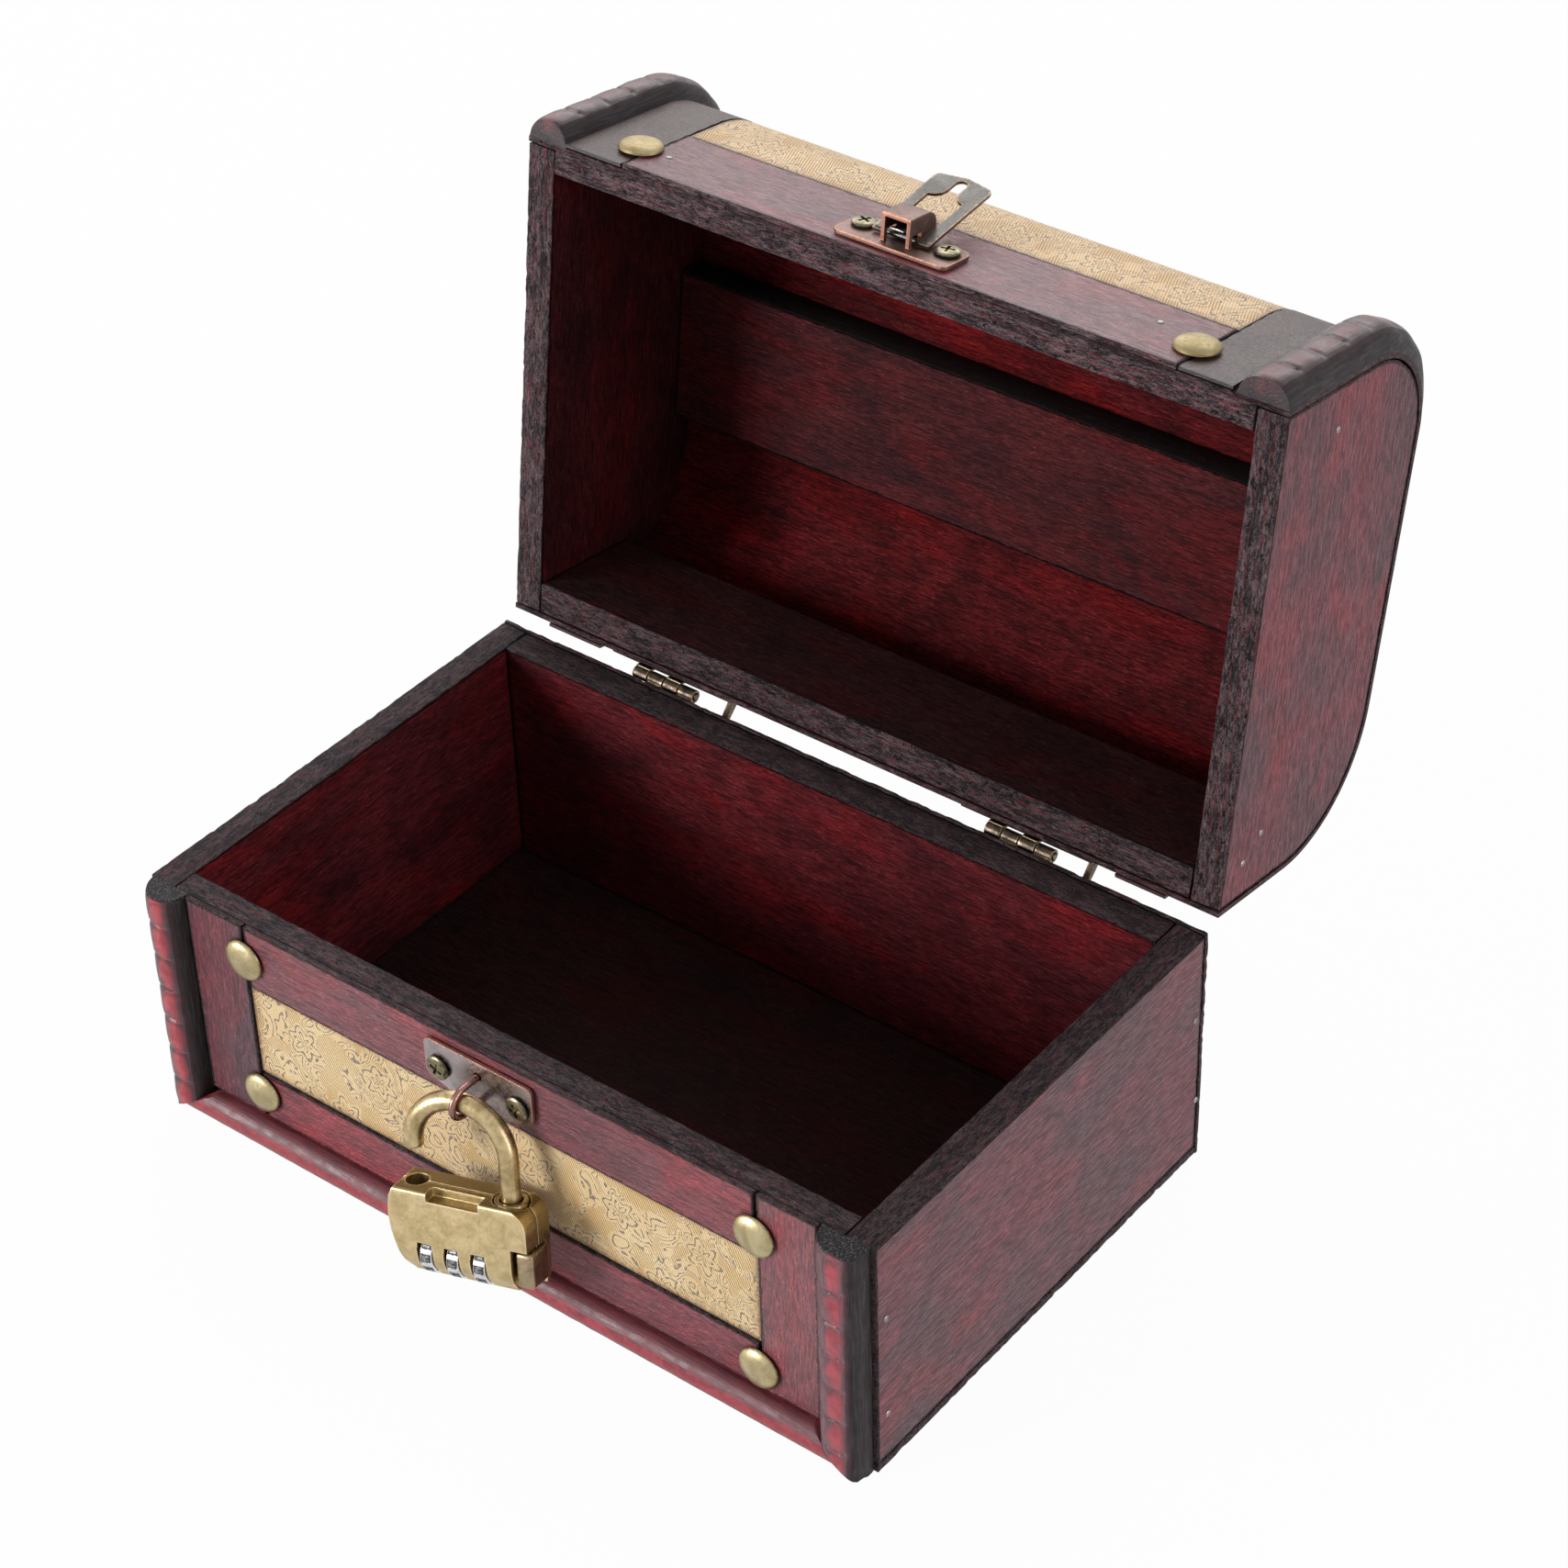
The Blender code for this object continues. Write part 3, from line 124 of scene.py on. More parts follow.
BASE = Matrix.Identity(4)
LID = about((0, 51.2, 50.9), rotation(-98, "X"))
STRAP = LID @ about((HASP_X, -50.2, 57.8), rotation(14 - 180, "X"))
LOCK_ROLL = -6.9
LOCK_TURN = rotation(11.5, "Z") @ rotation(-12.5, "X") @ rotation(LOCK_ROLL, "Y")
ROLL = math.radians(LOCK_ROLL)
HANG_POINT = Vector((-LEG_HALF * math.sin(ROLL), 0, LEG_HALF * (math.cos(ROLL) - 1)))
LOCK = Matrix.Translation((HASP_X, -53.2, STAPLE_Z)) @ LOCK_TURN @ Matrix.Translation(-HANG_POINT)


# Node trees
def maths(operation):
    def add_node(self, *others):
        return self.nodes.math(operation, self, *others)
    return add_node


class Value:
    """One output of a node. Sums, products and the like add a maths node each."""

    def __init__(self, nodes, socket):
        self.nodes = nodes
        self.socket = socket

    def __rsub__(self, other):
        return self.nodes.math("SUBTRACT", other, self)

    __add__, __sub__ = maths("ADD"), maths("SUBTRACT")
    __mul__, __truediv__ = maths("MULTIPLY"), maths("DIVIDE")
    __abs__, most = maths("ABSOLUTE"), maths("MAXIMUM")
    fraction, sine = maths("FRACT"), maths("SINE")


class Nodes:
    """Writes a node tree. Every call adds nodes and gives an output."""

    def __init__(self, tree):
        self.tree = tree

    def put(self, socket, value):
        if isinstance(value, Value):
            self.tree.links.new(value.socket, socket)
            return
        if socket.type == "RGBA" and len(value) == 3:
            value = (*value, 1.0)
        socket.default_value = value

    def node(self, kind, inputs=None, **settings):
        made = self.tree.nodes.new(kind)
        for key, value in settings.items():
            setattr(made, key, value)
        for key, value in (inputs or {}).items():
            self.put(made.inputs[key], value)
        return made

    def out(self, kind, output, inputs=None, **settings):
        return Value(self, self.node(kind, inputs, **settings).outputs[output])

    def math(self, operation, a, b=0.0):
        return self.out("ShaderNodeMath", 0, {0: a, 1: b}, operation=operation)

    def step(self, value, low, high, start=0.0, end=1.0, smooth=True):
        """Goes from start to end while the value goes from low to high."""
        ends = {"Value": value, "From Min": low, "From Max": high, "To Min": start, "To Max": end}
        kind = "SMOOTHSTEP" if smooth else "LINEAR"
        return self.out("ShaderNodeMapRange", 0, ends, clamp=True, interpolation_type=kind)

    def seen_directly(self):
        """1 for what the camera, a glossy or a transmission ray sees."""
        rays = self.node("ShaderNodeLightPath").outputs
        names = ("Is Camera Ray", "Is Glossy Ray", "Is Transmission Ray")
        camera, glossy, clear = [Value(self, rays[name]) for name in names]
        return camera.most(glossy).most(clear)


class Paint(Nodes):
    """One procedural material, with patterns in millimetres."""

    def __init__(self, name):
        self.material = bpy.data.materials.new(name)
        self.material.use_nodes = True
        super().__init__(self.material.node_tree)
        self.shader = self.tree.nodes["Principled BSDF"]
        place = self.out("ShaderNodeTexCoord", "Object")
        self.spot = self.vector("MULTIPLY", place, (1 / MM, 1 / MM, 1 / MM))

    def vector(self, operation, a, b):
        return self.out("ShaderNodeVectorMath", 0, {0: a, 1: b}, operation=operation)

    def split(self, vector):
        parts = self.node("ShaderNodeSeparateXYZ", {0: vector}).outputs
        return [Value(self, part) for part in parts]

    def board(self):
        """The three parts of the mesh's board attribute."""
        return self.split(self.out("ShaderNodeAttribute", "Vector", attribute_name="board"))

    def noise(self, vector, detail, rough, distortion=0.0):
        inputs = {"Vector": vector, "Scale": 1.0, "Detail": detail, "Roughness": rough,
                  "Distortion": distortion}
        return self.out("ShaderNodeTexNoise", 0, inputs)

    def stretched(self, cells, detail, rough=0.55, distortion=0.0, shift=(0, 0, 0)):
        """Noise whose cells have the given size, or the three given sizes."""
        sizes = cells if isinstance(cells, list) else [cells] * 3
        moved = self.vector("ADD", self.spot, shift)
        return self.noise(self.vector("DIVIDE", moved, sizes), detail, rough, distortion)

    def mix(self, share, a, b, blend="MIX"):
        return self.out("ShaderNodeMix", 2, {0: share, 6: a, 7: b}, data_type="RGBA", blend_type=blend,
                        clamp_factor=True)

    def blend(self, share, a, b):
        return self.out("ShaderNodeMix", 0, {0: share, 2: a, 3: b})

    def tint(self, colour, times):
        return self.mix(1.0, colour, times, "MULTIPLY")

    def stain(self, share, colour, times):
        return self.mix(share, colour, self.tint(colour, times))

    def bump(self, height, distance, strength, normal=None):
        inputs = {"Height": height, "Distance": distance * MM, "Strength": strength}
        if normal:
            inputs["Normal"] = normal
        return self.out("ShaderNodeBump", 0, inputs)

    def finish(self, colour, roughness, normal=None, metallic=0.0, **fixed):
        inputs = {"Base Color": colour, "Roughness": roughness, "Metallic": metallic}
        if normal:
            inputs["Normal"] = normal
        for key, value in (*inputs.items(), *fixed.items()):
            self.put(self.shader.inputs[key.replace("_", " ")], value)
        return self.material


def wood(name, grain, inner, outer, haze=0.38, seed=0.0, shine=0.5, rim=1.0, inner_shine=0.08):
    """Stained ply in three materials: varnished outside, dull inside, burnt narrow faces, whose colour rim
    scales as painted light and shade.
    """
    return [ply(name + kind, grain, inner, outer, haze, seed, level, rim)
            for kind, level in (("_outside", shine), ("_inside", inner_shine), ("_rim", 0.16))]


def ply(name, grain, inner, outer, haze, seed, shine, rim):
    """grain is the axis of the grain. The board attribute holds the distance to the board's border,
    the place through its thickness (0 outside, 1 inside) and the narrow faces."""
    p = Paint(name)
    shift = (seed, seed * 1.7, seed * 0.6)

    def cells(across, along):
        sizes = [across] * 3
        sizes[grain] = along
        return sizes

    # rim scales the black and red of the narrow faces board by board: painted light above 1, as on the lid's
    # rims, painted shade below 1, as on the base's rims
    def rimmed(*colour):
        return tuple(c * rim for c in colour)

    figure = p.stretched(cells(4.5, 40.0), 4.0, 0.6, 1.2, shift)
    streak = p.stretched(cells(0.36, 3.6), 4.0, 0.75, 0.6, shift)
    dash_and_sheen = p.stretched(cells(0.26, 1.2), 2.0, 0.6, 0.3, shift)
    cloud = p.stretched(24, 3.0, 0.55, 0.8, shift)
    patch = p.stretched(cells(13.0, 34.0), 2.0, 0.5, 0.8, (seed + 40, seed, seed))
    edge, through, wall = p.board()
    inside = p.step(through, 0.35, 0.65)
    tone = p.step(figure * 0.4 + cloud * 0.6, 0.34, 0.66)
    face = p.mix(inside, p.mix(tone, outer[1], outer[0]), p.mix(tone, inner[1], inner[0]))
    face = p.stain(p.step(patch, 0.48, 0.66) * 0.8, face, (1.40, 0.70, 0.72))
    face = p.stain(p.step(streak, 0.44, 0.58, 0.0, 0.9), face, (0.28, 0.24, 0.28))
    # Pale dashes along the grain: the wood's light flecks, with painted sheen in their colour
    face = p.stain(p.step(dash_and_sheen, 0.56, 0.66, 0.0, 0.7), face, (1.8, 3.4, 3.0))
    ragged = p.stretched(1.5, 4.0, 0.65, 0.4, shift)
    burnt = wall.most(p.step(edge + (0.5 - ragged) * 1.7, 0.12, 0.62, 1.0, 0.0))
    # Narrow faces: black and grey grit along the grain, red seams between the plies, black pits
    grit = p.stretched(0.26, 5.0, 0.8)
    fibre = p.stretched(cells(0.36, 1.8), 4.0, 0.8, 0.4, shift)
    lines = p.stretched(cells(0.30, 6.0), 4.0, 0.7, 0.4, shift)
    coarse = p.stretched(cells(1.6, 7.0), 3.0, 0.6, 0.5, (seed, seed + 9, seed))
    torn = p.step(fibre * 0.45 + grit * 0.35 + coarse * 0.20, 0.445, 0.60)
    black = p.mix(torn, rimmed(0.008, 0.005, 0.006), rimmed(0.190, 0.130, 0.140))
    plies = (through * 3.0 + (coarse - 0.5) * 0.9).fraction()
    seam = p.step(abs(plies - 0.5), 0.39, 0.46)
    threads = p.step(lines, 0.55, 0.61) * p.step(coarse, 0.50, 0.58)
    red = threads.most(seam * p.step(lines, 0.46, 0.56))
    narrow = p.mix(red * 0.7, black, rimmed(0.185, 0.013, 0.024))
    pit = p.step(p.stretched(cells(0.7, 1.6), 3.0, 0.6, 0.8, (seed, seed, seed + 5)), 0.61, 0.65)
    narrow = p.mix(pit, narrow, (0.003, 0.002, 0.002))
    colour = p.mix(burnt, face, p.mix(wall, p.tint(face, (0.13, 0.14, 0.15)), narrow))
    polish = p.step(streak, 0.35, 0.62, haze - 0.07, haze + 0.20)
    rough = p.blend(burnt, p.blend(inside, polish, 0.60), 0.55)
    soft = p.bump(streak * 0.6 + dash_and_sheen * 0.4, 0.26, 0.9)
    hard = p.bump((grit * 0.6 + lines - pit * 1.5) * burnt, 0.5, 1.0, soft)
    return p.finish(colour, rough, hard, Specular_IOR_Level=shine)


def burnished(name, axis, red_share, plum, centre, wide=0.4, gloss=0.30):
    """Moulding in two materials: the polished crest, and the dull flank and ends."""
    return [crest_paint(name + kind, axis, red_share, plum, centre, wide, level, rough)
            for kind, level, rough in (("_crest", 0.45, gloss), ("_flank", 0.22, 0.44))]


def crest_paint(name, axis, red_share, plum, centre, wide, shine, rough):
    """Plum with rounded red patches between the notches; black outer flank; grey end grain."""
    p = Paint(name)
    across, notch, end = p.board()
    grain = [0.45] * 3
    grain[axis] = 6.0
    streak = p.stretched(grain, 4.0, 0.65, 0.3)
    cloud = p.stretched(2.6, 4.0, 0.6, 0.5)
    wander = cloud - 0.5
    side = (across - centre + wander * 0.5) / wide
    along = (notch - 0.5 + wander * 0.3) / 0.47
    along = along * along
    worn = p.step(side * side + along * along, 0.05, 1.3, 1.0, 0.0)
    worn = worn * p.step(streak, 0.35, 0.6, 0.6, 1.0) * red_share
    base = p.mix(p.step(streak, 0.42, 0.60), plum, tuple(c * 0.55 for c in plum))
    flank = p.step(across + wander * 0.3, 0.42, 0.86)
    soot = p.mix(p.step(streak, 0.46, 0.62), (0.012, 0.008, 0.009), (0.036, 0.027, 0.030))
    red = p.mix(p.step(cloud, 0.40, 0.62), (0.30, 0.020, 0.032), (0.46, 0.050, 0.066))
    colour = p.mix(worn * 0.9, p.mix(flank, base, soot), red)
    groove = p.step(abs(notch - 0.5), 0.462, 0.494) * p.step(across, 0.25, 0.6, 0.95, 0.2)
    colour = p.mix(groove, colour, (0.010, 0.005, 0.006))
    grit = p.stretched(0.42, 4.0, 0.75)
    ash = p.mix(p.step(grit, 0.48, 0.66), (0.006, 0.0055, 0.0055), (0.15, 0.135, 0.135))
    rim = p.step(end + (grit - 0.5) * 1.2, 0.4, 0.75)
    colour = p.mix(rim, colour, ash)
    roughness = p.blend(rim, p.step(cloud, 0.3, 0.7, rough - 0.04, rough + 0.12), 0.6)
    height = streak * 0.4 + grit * p.blend(rim, 0.12, 1.6)
    return p.finish(colour, roughness, p.bump(height, 0.25, 0.7), Specular_IOR_Level=shine)


def brocade(name, painted_light_gain):
    """Gold twill with a generic scrolling line ornament, drawn on the cloth's own length and width. The
    second argument scales the whole colour, as painted light.
    """
    p = Paint(name)
    place = p.out("ShaderNodeUVMap", 0, uv_map="cloth")
    flat = p.vector("MULTIPLY", place, (CLOTH_UNIT, CLOTH_UNIT, 0))
    u, v = p.split(flat)[:2]

    def cloth_noise(size, detail, rough, distortion=0.0, shift=(0, 0, 0)):
        moved = p.vector("ADD", flat, shift)
        return p.noise(p.vector("DIVIDE", moved, (size, size, 1)), detail, rough, distortion)

    # Meandering thin lines from level curves, in clusters
    swirl = cloth_noise(8.0, 1.5, 0.45, 1.4, (31, 7, 0))
    level = abs((swirl * 13.0).fraction() - 0.5)
    cluster = p.step(cloth_noise(7.5, 2.0, 0.5, 0.6, (3, 50, 0)), 0.44, 0.49)
    vine = p.step(level, 0.07, 0.15, 1.0, 0.0) * cluster
    # Staggered rosettes with petals
    wide, tall = 18.0, 12.0
    stagger = p.math("MODULO", abs(p.math("FLOOR", v / tall)), 2.0) * (wide / 2)
    x = (((u + stagger) / wide).fraction() - 0.5) * wide
    y = ((v / tall).fraction() - 0.5) * tall
    radius = p.math("SQRT", x * x + y * y)
    petal = (p.math("ARCTAN2", y, x) * 6.0).sine() * 0.7
    shape = radius + petal + cloth_noise(3.0, 2.0, 0.5) * 2.4
    ring = abs((shape / 1.7).fraction() - 0.5)
    inside = p.step(shape, 4.9, 5.3, 1.0, 0.0)
    rosette = p.step(ring, 0.08, 0.17, 1.0, 0.0) * inside
    line = rosette.most(vine * (1.0 - inside))
    line = line * p.step(cloth_noise(0.9, 1.0, 0.5), 0.34, 0.42)
    # Twill: fine slanted ribs, flatter inside the motifs
    rib_pitch, thread_pitch = 0.52, 0.40
    rib = ((u * 0.92 + v * 0.40) * (2 * math.pi / rib_pitch)).sine()
    thread = (v * (2 * math.pi / thread_pitch)).sine()
    satin = (cluster * 0.5).most(inside * 0.5)
    twill = p.step(rib, -0.3, 0.8) * (1.0 - satin)
    patch = cloth_noise(16.0, 3.0, 0.6)
    gold = p.mix(p.step(patch, 0.35, 0.65), (0.66, 0.43, 0.165), (0.80, 0.60, 0.33))
    gold = p.mix(satin, gold, (0.80, 0.61, 0.345))
    gold = p.mix(twill * 0.95, gold, (0.235, 0.135, 0.042))
    speck = p.step(cloth_noise(0.34, 2.0, 0.6), 0.60, 0.72)
    gold = p.mix(speck * 0.35, gold, (0.22, 0.15, 0.085))
    glint = p.step(cloth_noise(0.28, 2.0, 0.6, 0.0, (9, 9, 0)), 0.62, 0.74)
    gold = p.mix(glint * 0.4, gold, (0.95, 0.84, 0.58))
    colour = p.mix(line * 0.92, gold, (0.145, 0.112, 0.088))
    # Browner towards the border and a dark ragged line at it: dirt along the edge, with painted shade where
    # the strips stand above the cloth
    edge = p.board()[0]
    worn = edge + (cloth_noise(1.2, 3.0, 0.6) - 0.5) * 1.6
    colour = p.stain(p.step(edge, 0.4, 2.6, 0.45, 0.0), colour, (0.62, 0.45, 0.26))
    colour = p.mix(p.step(worn, 0.1, 0.8, 0.75, 0.0), colour, (0.10, 0.050, 0.022))
    # Painted light: the whole colour is scaled, lighter for the lid's cloth than for the front's
    colour = p.tint(colour, painted_light_gain)
    normal = p.bump(rib * 0.35 + (thread * 0.15 + line * -0.8), 0.07, 0.9)
    return p.finish(colour, p.blend(satin, 0.50, 0.38), normal, Sheen_Weight=0.2)


def leather(name):
    p = Paint(name)
    pebbles = {"Vector": p.vector("DIVIDE", p.spot, (0.8, 0.8, 0.8)), "Scale": 1.0}
    cell = p.out("ShaderNodeTexVoronoi", 0, pebbles, feature="DISTANCE_TO_EDGE")
    cloud = p.stretched(6, 4.0, 0.6, 0.4)
    fine = p.stretched(0.4, 3.0, 0.6)
    colour = p.mix(p.step(cloud, 0.35, 0.65), (0.034, 0.013, 0.011), (0.064, 0.029, 0.025))
    colour = p.mix(p.step(p.board()[0], 0.1, 0.7, 0.8, 0.0), colour, (0.008, 0.006, 0.006))
    height = p.step(cell, 0.0, 0.22) + fine * 0.6
    return p.finish(colour, p.step(fine, 0.3, 0.7, 0.40, 0.55), p.bump(height, 0.05, 0.5))


def old_metal(name, bright, dark, worn=None, rough=0.30, scratches=0.2, size=3.0, depth=0.08, spotty=0.5,
              top=None):
    """Tarnished metal: mottled, scratched, and with bare metal along the worn edges."""
    p = Paint(name)
    cloud = p.stretched(size, 5.0, 0.65, 0.6)
    spots = p.stretched(0.55, 4.0, 0.7)
    swirl = p.noise(p.vector("DIVIDE", p.spot, (2.6, 2.6, 2.2)), 1.0, 0.5, 3.0)
    colour = p.mix(p.step(cloud, 0.34, 0.68), bright, dark)
    colour = p.mix(p.step(spots, 0.56, 0.72, 0.0, spotty), colour, dark)
    if top:
        upward = p.split(p.out("ShaderNodeTexCoord", "Normal"))[2]
        colour = p.mix(p.step(upward, 0.45, 0.85), colour, top)
    if worn:
        ragged = p.board()[0] + (spots - 0.5) * 0.9
        colour = p.mix(p.step(ragged, -0.05, 0.34, 1.0, 0.0), colour, worn)
    broken = p.step(p.stretched(0.9, 2.0, 0.5, 0.0, (7, 3, 1)), 0.50, 0.56)
    line = p.step(abs((swirl * 9.0).fraction() - 0.5), 0.010, 0.035, scratches, 0.0) * broken
    colour = p.mix(line, colour, bright)
    roughness = p.step(spots, 0.3, 0.75, rough - 0.06, rough + 0.14)
    return p.finish(colour, roughness, p.bump(cloud * 0.6 + spots * 0.3, depth, 0.5), 1.0)


# Inside and outside colours of the boards, light and dark tone
RED = ((0.140, 0.015, 0.019), (0.056, 0.008, 0.011))
LID_RED = ((0.086, 0.012, 0.014), (0.036, 0.007, 0.009))
ROOF_RED = ((0.128, 0.010, 0.012), (0.050, 0.006, 0.007))
# The two rail reds are darker, greyer copies of the inside red: painted shade inside the lid
RAIL_RED = ((0.066, 0.020, 0.021), (0.034, 0.014, 0.015))
FRONT_RAIL_RED = ((0.046, 0.010, 0.011), (0.026, 0.008, 0.009))
# The floor's red is a far darker copy of the inside red: darker wood, with painted shade of the base's deep
# inside
FLOOR_RED_WITH_PAINTED_SHADE = ((0.042, 0.012, 0.012), (0.022, 0.009, 0.009))
PLUM = ((0.168, 0.020, 0.034), (0.074, 0.020, 0.031))
STRIP_PLUM = ((0.245, 0.037, 0.051), (0.142, 0.037, 0.049))
GREY_PLUM = ((0.130, 0.036, 0.050), (0.085, 0.032, 0.044))
# The eighth argument of wood() scales the narrow faces: painted light above 1 on the lid, painted shade
# below 1 on the base
wood_side = wood("stained_side_ply", 1, RED, PLUM, 0.38, 11.0, 0.5, 0.75)
wood_long = wood("stained_long_ply", 0, RED, PLUM, 0.38, 37.0, 0.5, 0.9)
wood_back = wood("stained_back_ply", 0, RED, PLUM, 0.38, 37.0, 0.5, 0.65)
wood_floor = wood("stained_floor_ply_painted_shade", 0, FLOOR_RED_WITH_PAINTED_SHADE, PLUM, 0.38, 53.0)
wood_lid_side = wood("stained_lid_side", 1, LID_RED, PLUM, 0.38, 11.0, 0.36, 1.1)
# The lid's rails carry painted shade in their darker reds
wood_lid_rail = wood("stained_lid_rail_painted_shade", 0, RAIL_RED, PLUM, 0.38, 23.0, 0.5, 1.05)
wood_front_rail = wood("stained_front_rail_painted_shade", 0, PLUM, FRONT_RAIL_RED, 0.38, 29.0, 0.08, 1.35)
# The slat's narrow faces are scaled near black: painted shade of the dark gaps at the slat's edges
wood_lid_slat = wood("stained_lid_slat", 0, LID_RED, PLUM, 0.38, 61.0, 0.5, 0.08)
wood_roof = wood("stained_roof_ply", 0, ROOF_RED, PLUM, 0.38, 37.0, 0.5, 1.0, 0.03)
wood_strip = wood("stained_strip", 0, STRIP_PLUM, STRIP_PLUM, 0.30, 71.0)
wood_grey = wood("stained_grey_strip", 2, GREY_PLUM, GREY_PLUM, 0.30, 71.0)
wood_bright = wood("polished_strip", 0, STRIP_PLUM, STRIP_PLUM, 0.30, 91.0, 0.75, 1.35)
wood_bright_up = wood("polished_upright_strip", 2, STRIP_PLUM, STRIP_PLUM, 0.30, 91.0, 0.8)
moulding_left = burnished("burnished_left", 2, 1.0, (0.075, 0.024, 0.032), 0.10, 0.42)
moulding_right = burnished("burnished_right", 2, 0.9, (0.125, 0.046, 0.060), 0.17, 0.36)
moulding_lid = burnished("burnished_bow", 2, 0.30, (0.046, 0.015, 0.019), 0.0)
moulding_long = burnished("burnished_foot", 0, 0.8, (0.14, 0.024, 0.034), 0.2, 0.4, 0.42)
gold_cloth = brocade("gold_brocade_cloth", (1.0, 1.0, 1.0))
# The lid's cloth is the same brocade painted lighter: painted light on the lid's top
lid_gold_cloth_painted_light = brocade("gold_brocade_lid_cloth_painted_light", (1.38, 1.25, 1.12))
dark_leather = leather("dark_leather_strip")
# Bright, dark and worn colours of the metals
nail_brass = old_metal("nail_brass", (0.50, 0.42, 0.25), (0.33, 0.265, 0.14), (0.17, 0.13, 0.06),
                       0.36, 0.1, 6.0, 0.03)
# The lid's nails get a darker copy of the nail brass: painted shade; its higher roughness is their matt
# surface
lid_nail_brass_painted_shade = old_metal("lid_nail_brass_painted_shade", (0.35, 0.285, 0.165), (0.25, 0.20, 0.105),
                           (0.17, 0.13, 0.06), 0.52, 0.1, 4.0, 0.03)
brad_steel = old_metal("brad_steel_old", (0.36, 0.35, 0.35), (0.16, 0.155, 0.155), None, 0.5, 0.2, 1.0)
screw_brass = old_metal("screw_brass_old", (0.24, 0.205, 0.13), (0.07, 0.06, 0.038),
                        (0.36, 0.31, 0.20), 0.30, 0.3, 1.5)
hinge_brass = old_metal("hinge_brass_old", (0.085, 0.062, 0.045), (0.025, 0.020, 0.016),
                        (0.18, 0.135, 0.08), 0.32, 0.3, 2.0)
lock_brass = old_metal("lock_brass_old", (0.57, 0.445, 0.250), (0.41, 0.315, 0.155), (0.64, 0.52, 0.31),
                       0.33, 0.9, 2.6, 0.08, 0.6, (0.22, 0.160, 0.072))
shackle_brass = old_metal("shackle_brass_old", (0.54, 0.42, 0.235), (0.30, 0.22, 0.105), None,
                          0.30, 0.5, 3.5)
collar_brass = old_metal("collar_brass_old", (0.20, 0.15, 0.075), (0.08, 0.06, 0.03),
                         (0.40, 0.31, 0.17), 0.33, 0.3)
lever_brass = old_metal("lever_brass_old", (0.33, 0.255, 0.16), (0.19, 0.14, 0.085),
                        (0.42, 0.34, 0.20), 0.36, 0.3)
copper = old_metal("copper_old", (0.40, 0.345, 0.35), (0.18, 0.145, 0.15), (0.42, 0.22, 0.16),
                   0.28, 0.2, 9.0, 0.05, 0.15)
lid_copper = old_metal("lid_copper_old", (0.195, 0.130, 0.112), (0.115, 0.075, 0.066),
                       (0.34, 0.155, 0.105), 0.44, 0.2, 9.0, 0.05, 0.15)
staple_metal = old_metal("staple_metal_old", (0.32, 0.17, 0.145), (0.12, 0.065, 0.060), None,
                         0.26, 0.2, 2.0)
strap_metal = old_metal("strap_metal_old", (0.100, 0.094, 0.087), (0.070, 0.065, 0.059),
                        (0.24, 0.17, 0.13), 0.34, 0.2, 6.0)
spring_metal = old_metal("spring_metal_old", (0.55, 0.54, 0.53), (0.25, 0.24, 0.24), None,
                         0.22, 0.2, 2.0)
dial_metal = old_metal("dial_metal_old", (0.78, 0.78, 0.79), (0.50, 0.50, 0.52), (0.16, 0.16, 0.165),
                       0.20, 0.2, 1.5)


# Mesh helpers: all meshes are drawn in millimetres and stored in metres
def jitter(point, size, seed=0.0):
    return noise.noise(Vector(point) / size + Vector((seed, seed, seed)))


def new_mesh():
    """An empty mesh, and the board attribute that its material reads."""
    bm = bmesh.new()
    return bm, bm.verts.layers.float_vector.new("board")


def dot(bm, layer, point, values):
    """A vertex with its three board values."""
    vert = bm.verts.new(point)
    vert[layer] = values
    return vert


def scaled(bm, factor):
    bmesh.ops.scale(bm, vec=(factor, factor, factor), verts=bm.verts)


def skin(bm, rings, *caps):
    """Joins neighbouring rings of vertices by faces, and adds a face for each cap."""
    for one, two in zip(rings, rings[1:]):
        for i in range(len(one)):
            j = (i + 1) % len(one)
            bm.faces.new((one[i], one[j], two[j], two[i]))
    return [bm.faces.new(cap) for cap in caps]


def rounded(bm, edges, amount, segments, clamp=False):
    bmesh.ops.bevel(bm, geom=list(edges), offset=amount, segments=segments, profile=0.5, affect="EDGES",
                    clamp_overlap=clamp)


def linked(name, data):
    obj = bpy.data.objects.new(name, data)
    scene.collection.objects.link(obj)
    return obj


def placed(name, bm, place):
    bmesh.ops.recalc_face_normals(bm, faces=bm.faces)
    scaled(bm, MM)
    mesh = bpy.data.meshes.new(name)
    bm.to_mesh(mesh)
    bm.free()
    obj = linked(name, mesh)
    spot, turn, _ = place.decompose()
    obj.matrix_world = Matrix.LocRotScale(spot * MM, turn, None)
    return obj


def shaded(mesh, degrees):
    mesh.shade_smooth()
    mesh.set_sharp_from_angle(angle=math.radians(degrees))


def piece(name, bm, mat, body, place=BASE, instead=(), smooth=35.0):
    """A finished piece on its body, standing for the CAD nodes that it shows in detail."""
    layer = bm.verts.layers.float_vector.get("board")
    if not layer:
        layer = bm.verts.layers.float_vector.new("board")
        for v in bm.verts:
            v[layer] = PLAIN
    mats = mat if isinstance(mat, list) else [mat]
    for face in bm.faces if len(mats) > 1 else ():
        first, through, narrow = [sum(v[layer][i] for v in face.verts) / len(face.verts) for i in range(3)]
        if len(mats) == 3:
            face.material_index = 2 if narrow > 0.45 else int(through > 0.5)
        else:
            face.material_index = int(narrow > 0.45 or first > 0.6)
    obj = placed(name, bm, place)
    for each in mats:
        obj.data.materials.append(each)
    shaded(obj.data, smooth)
    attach(obj, body)
    if instead:
        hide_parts(*instead)
    return obj


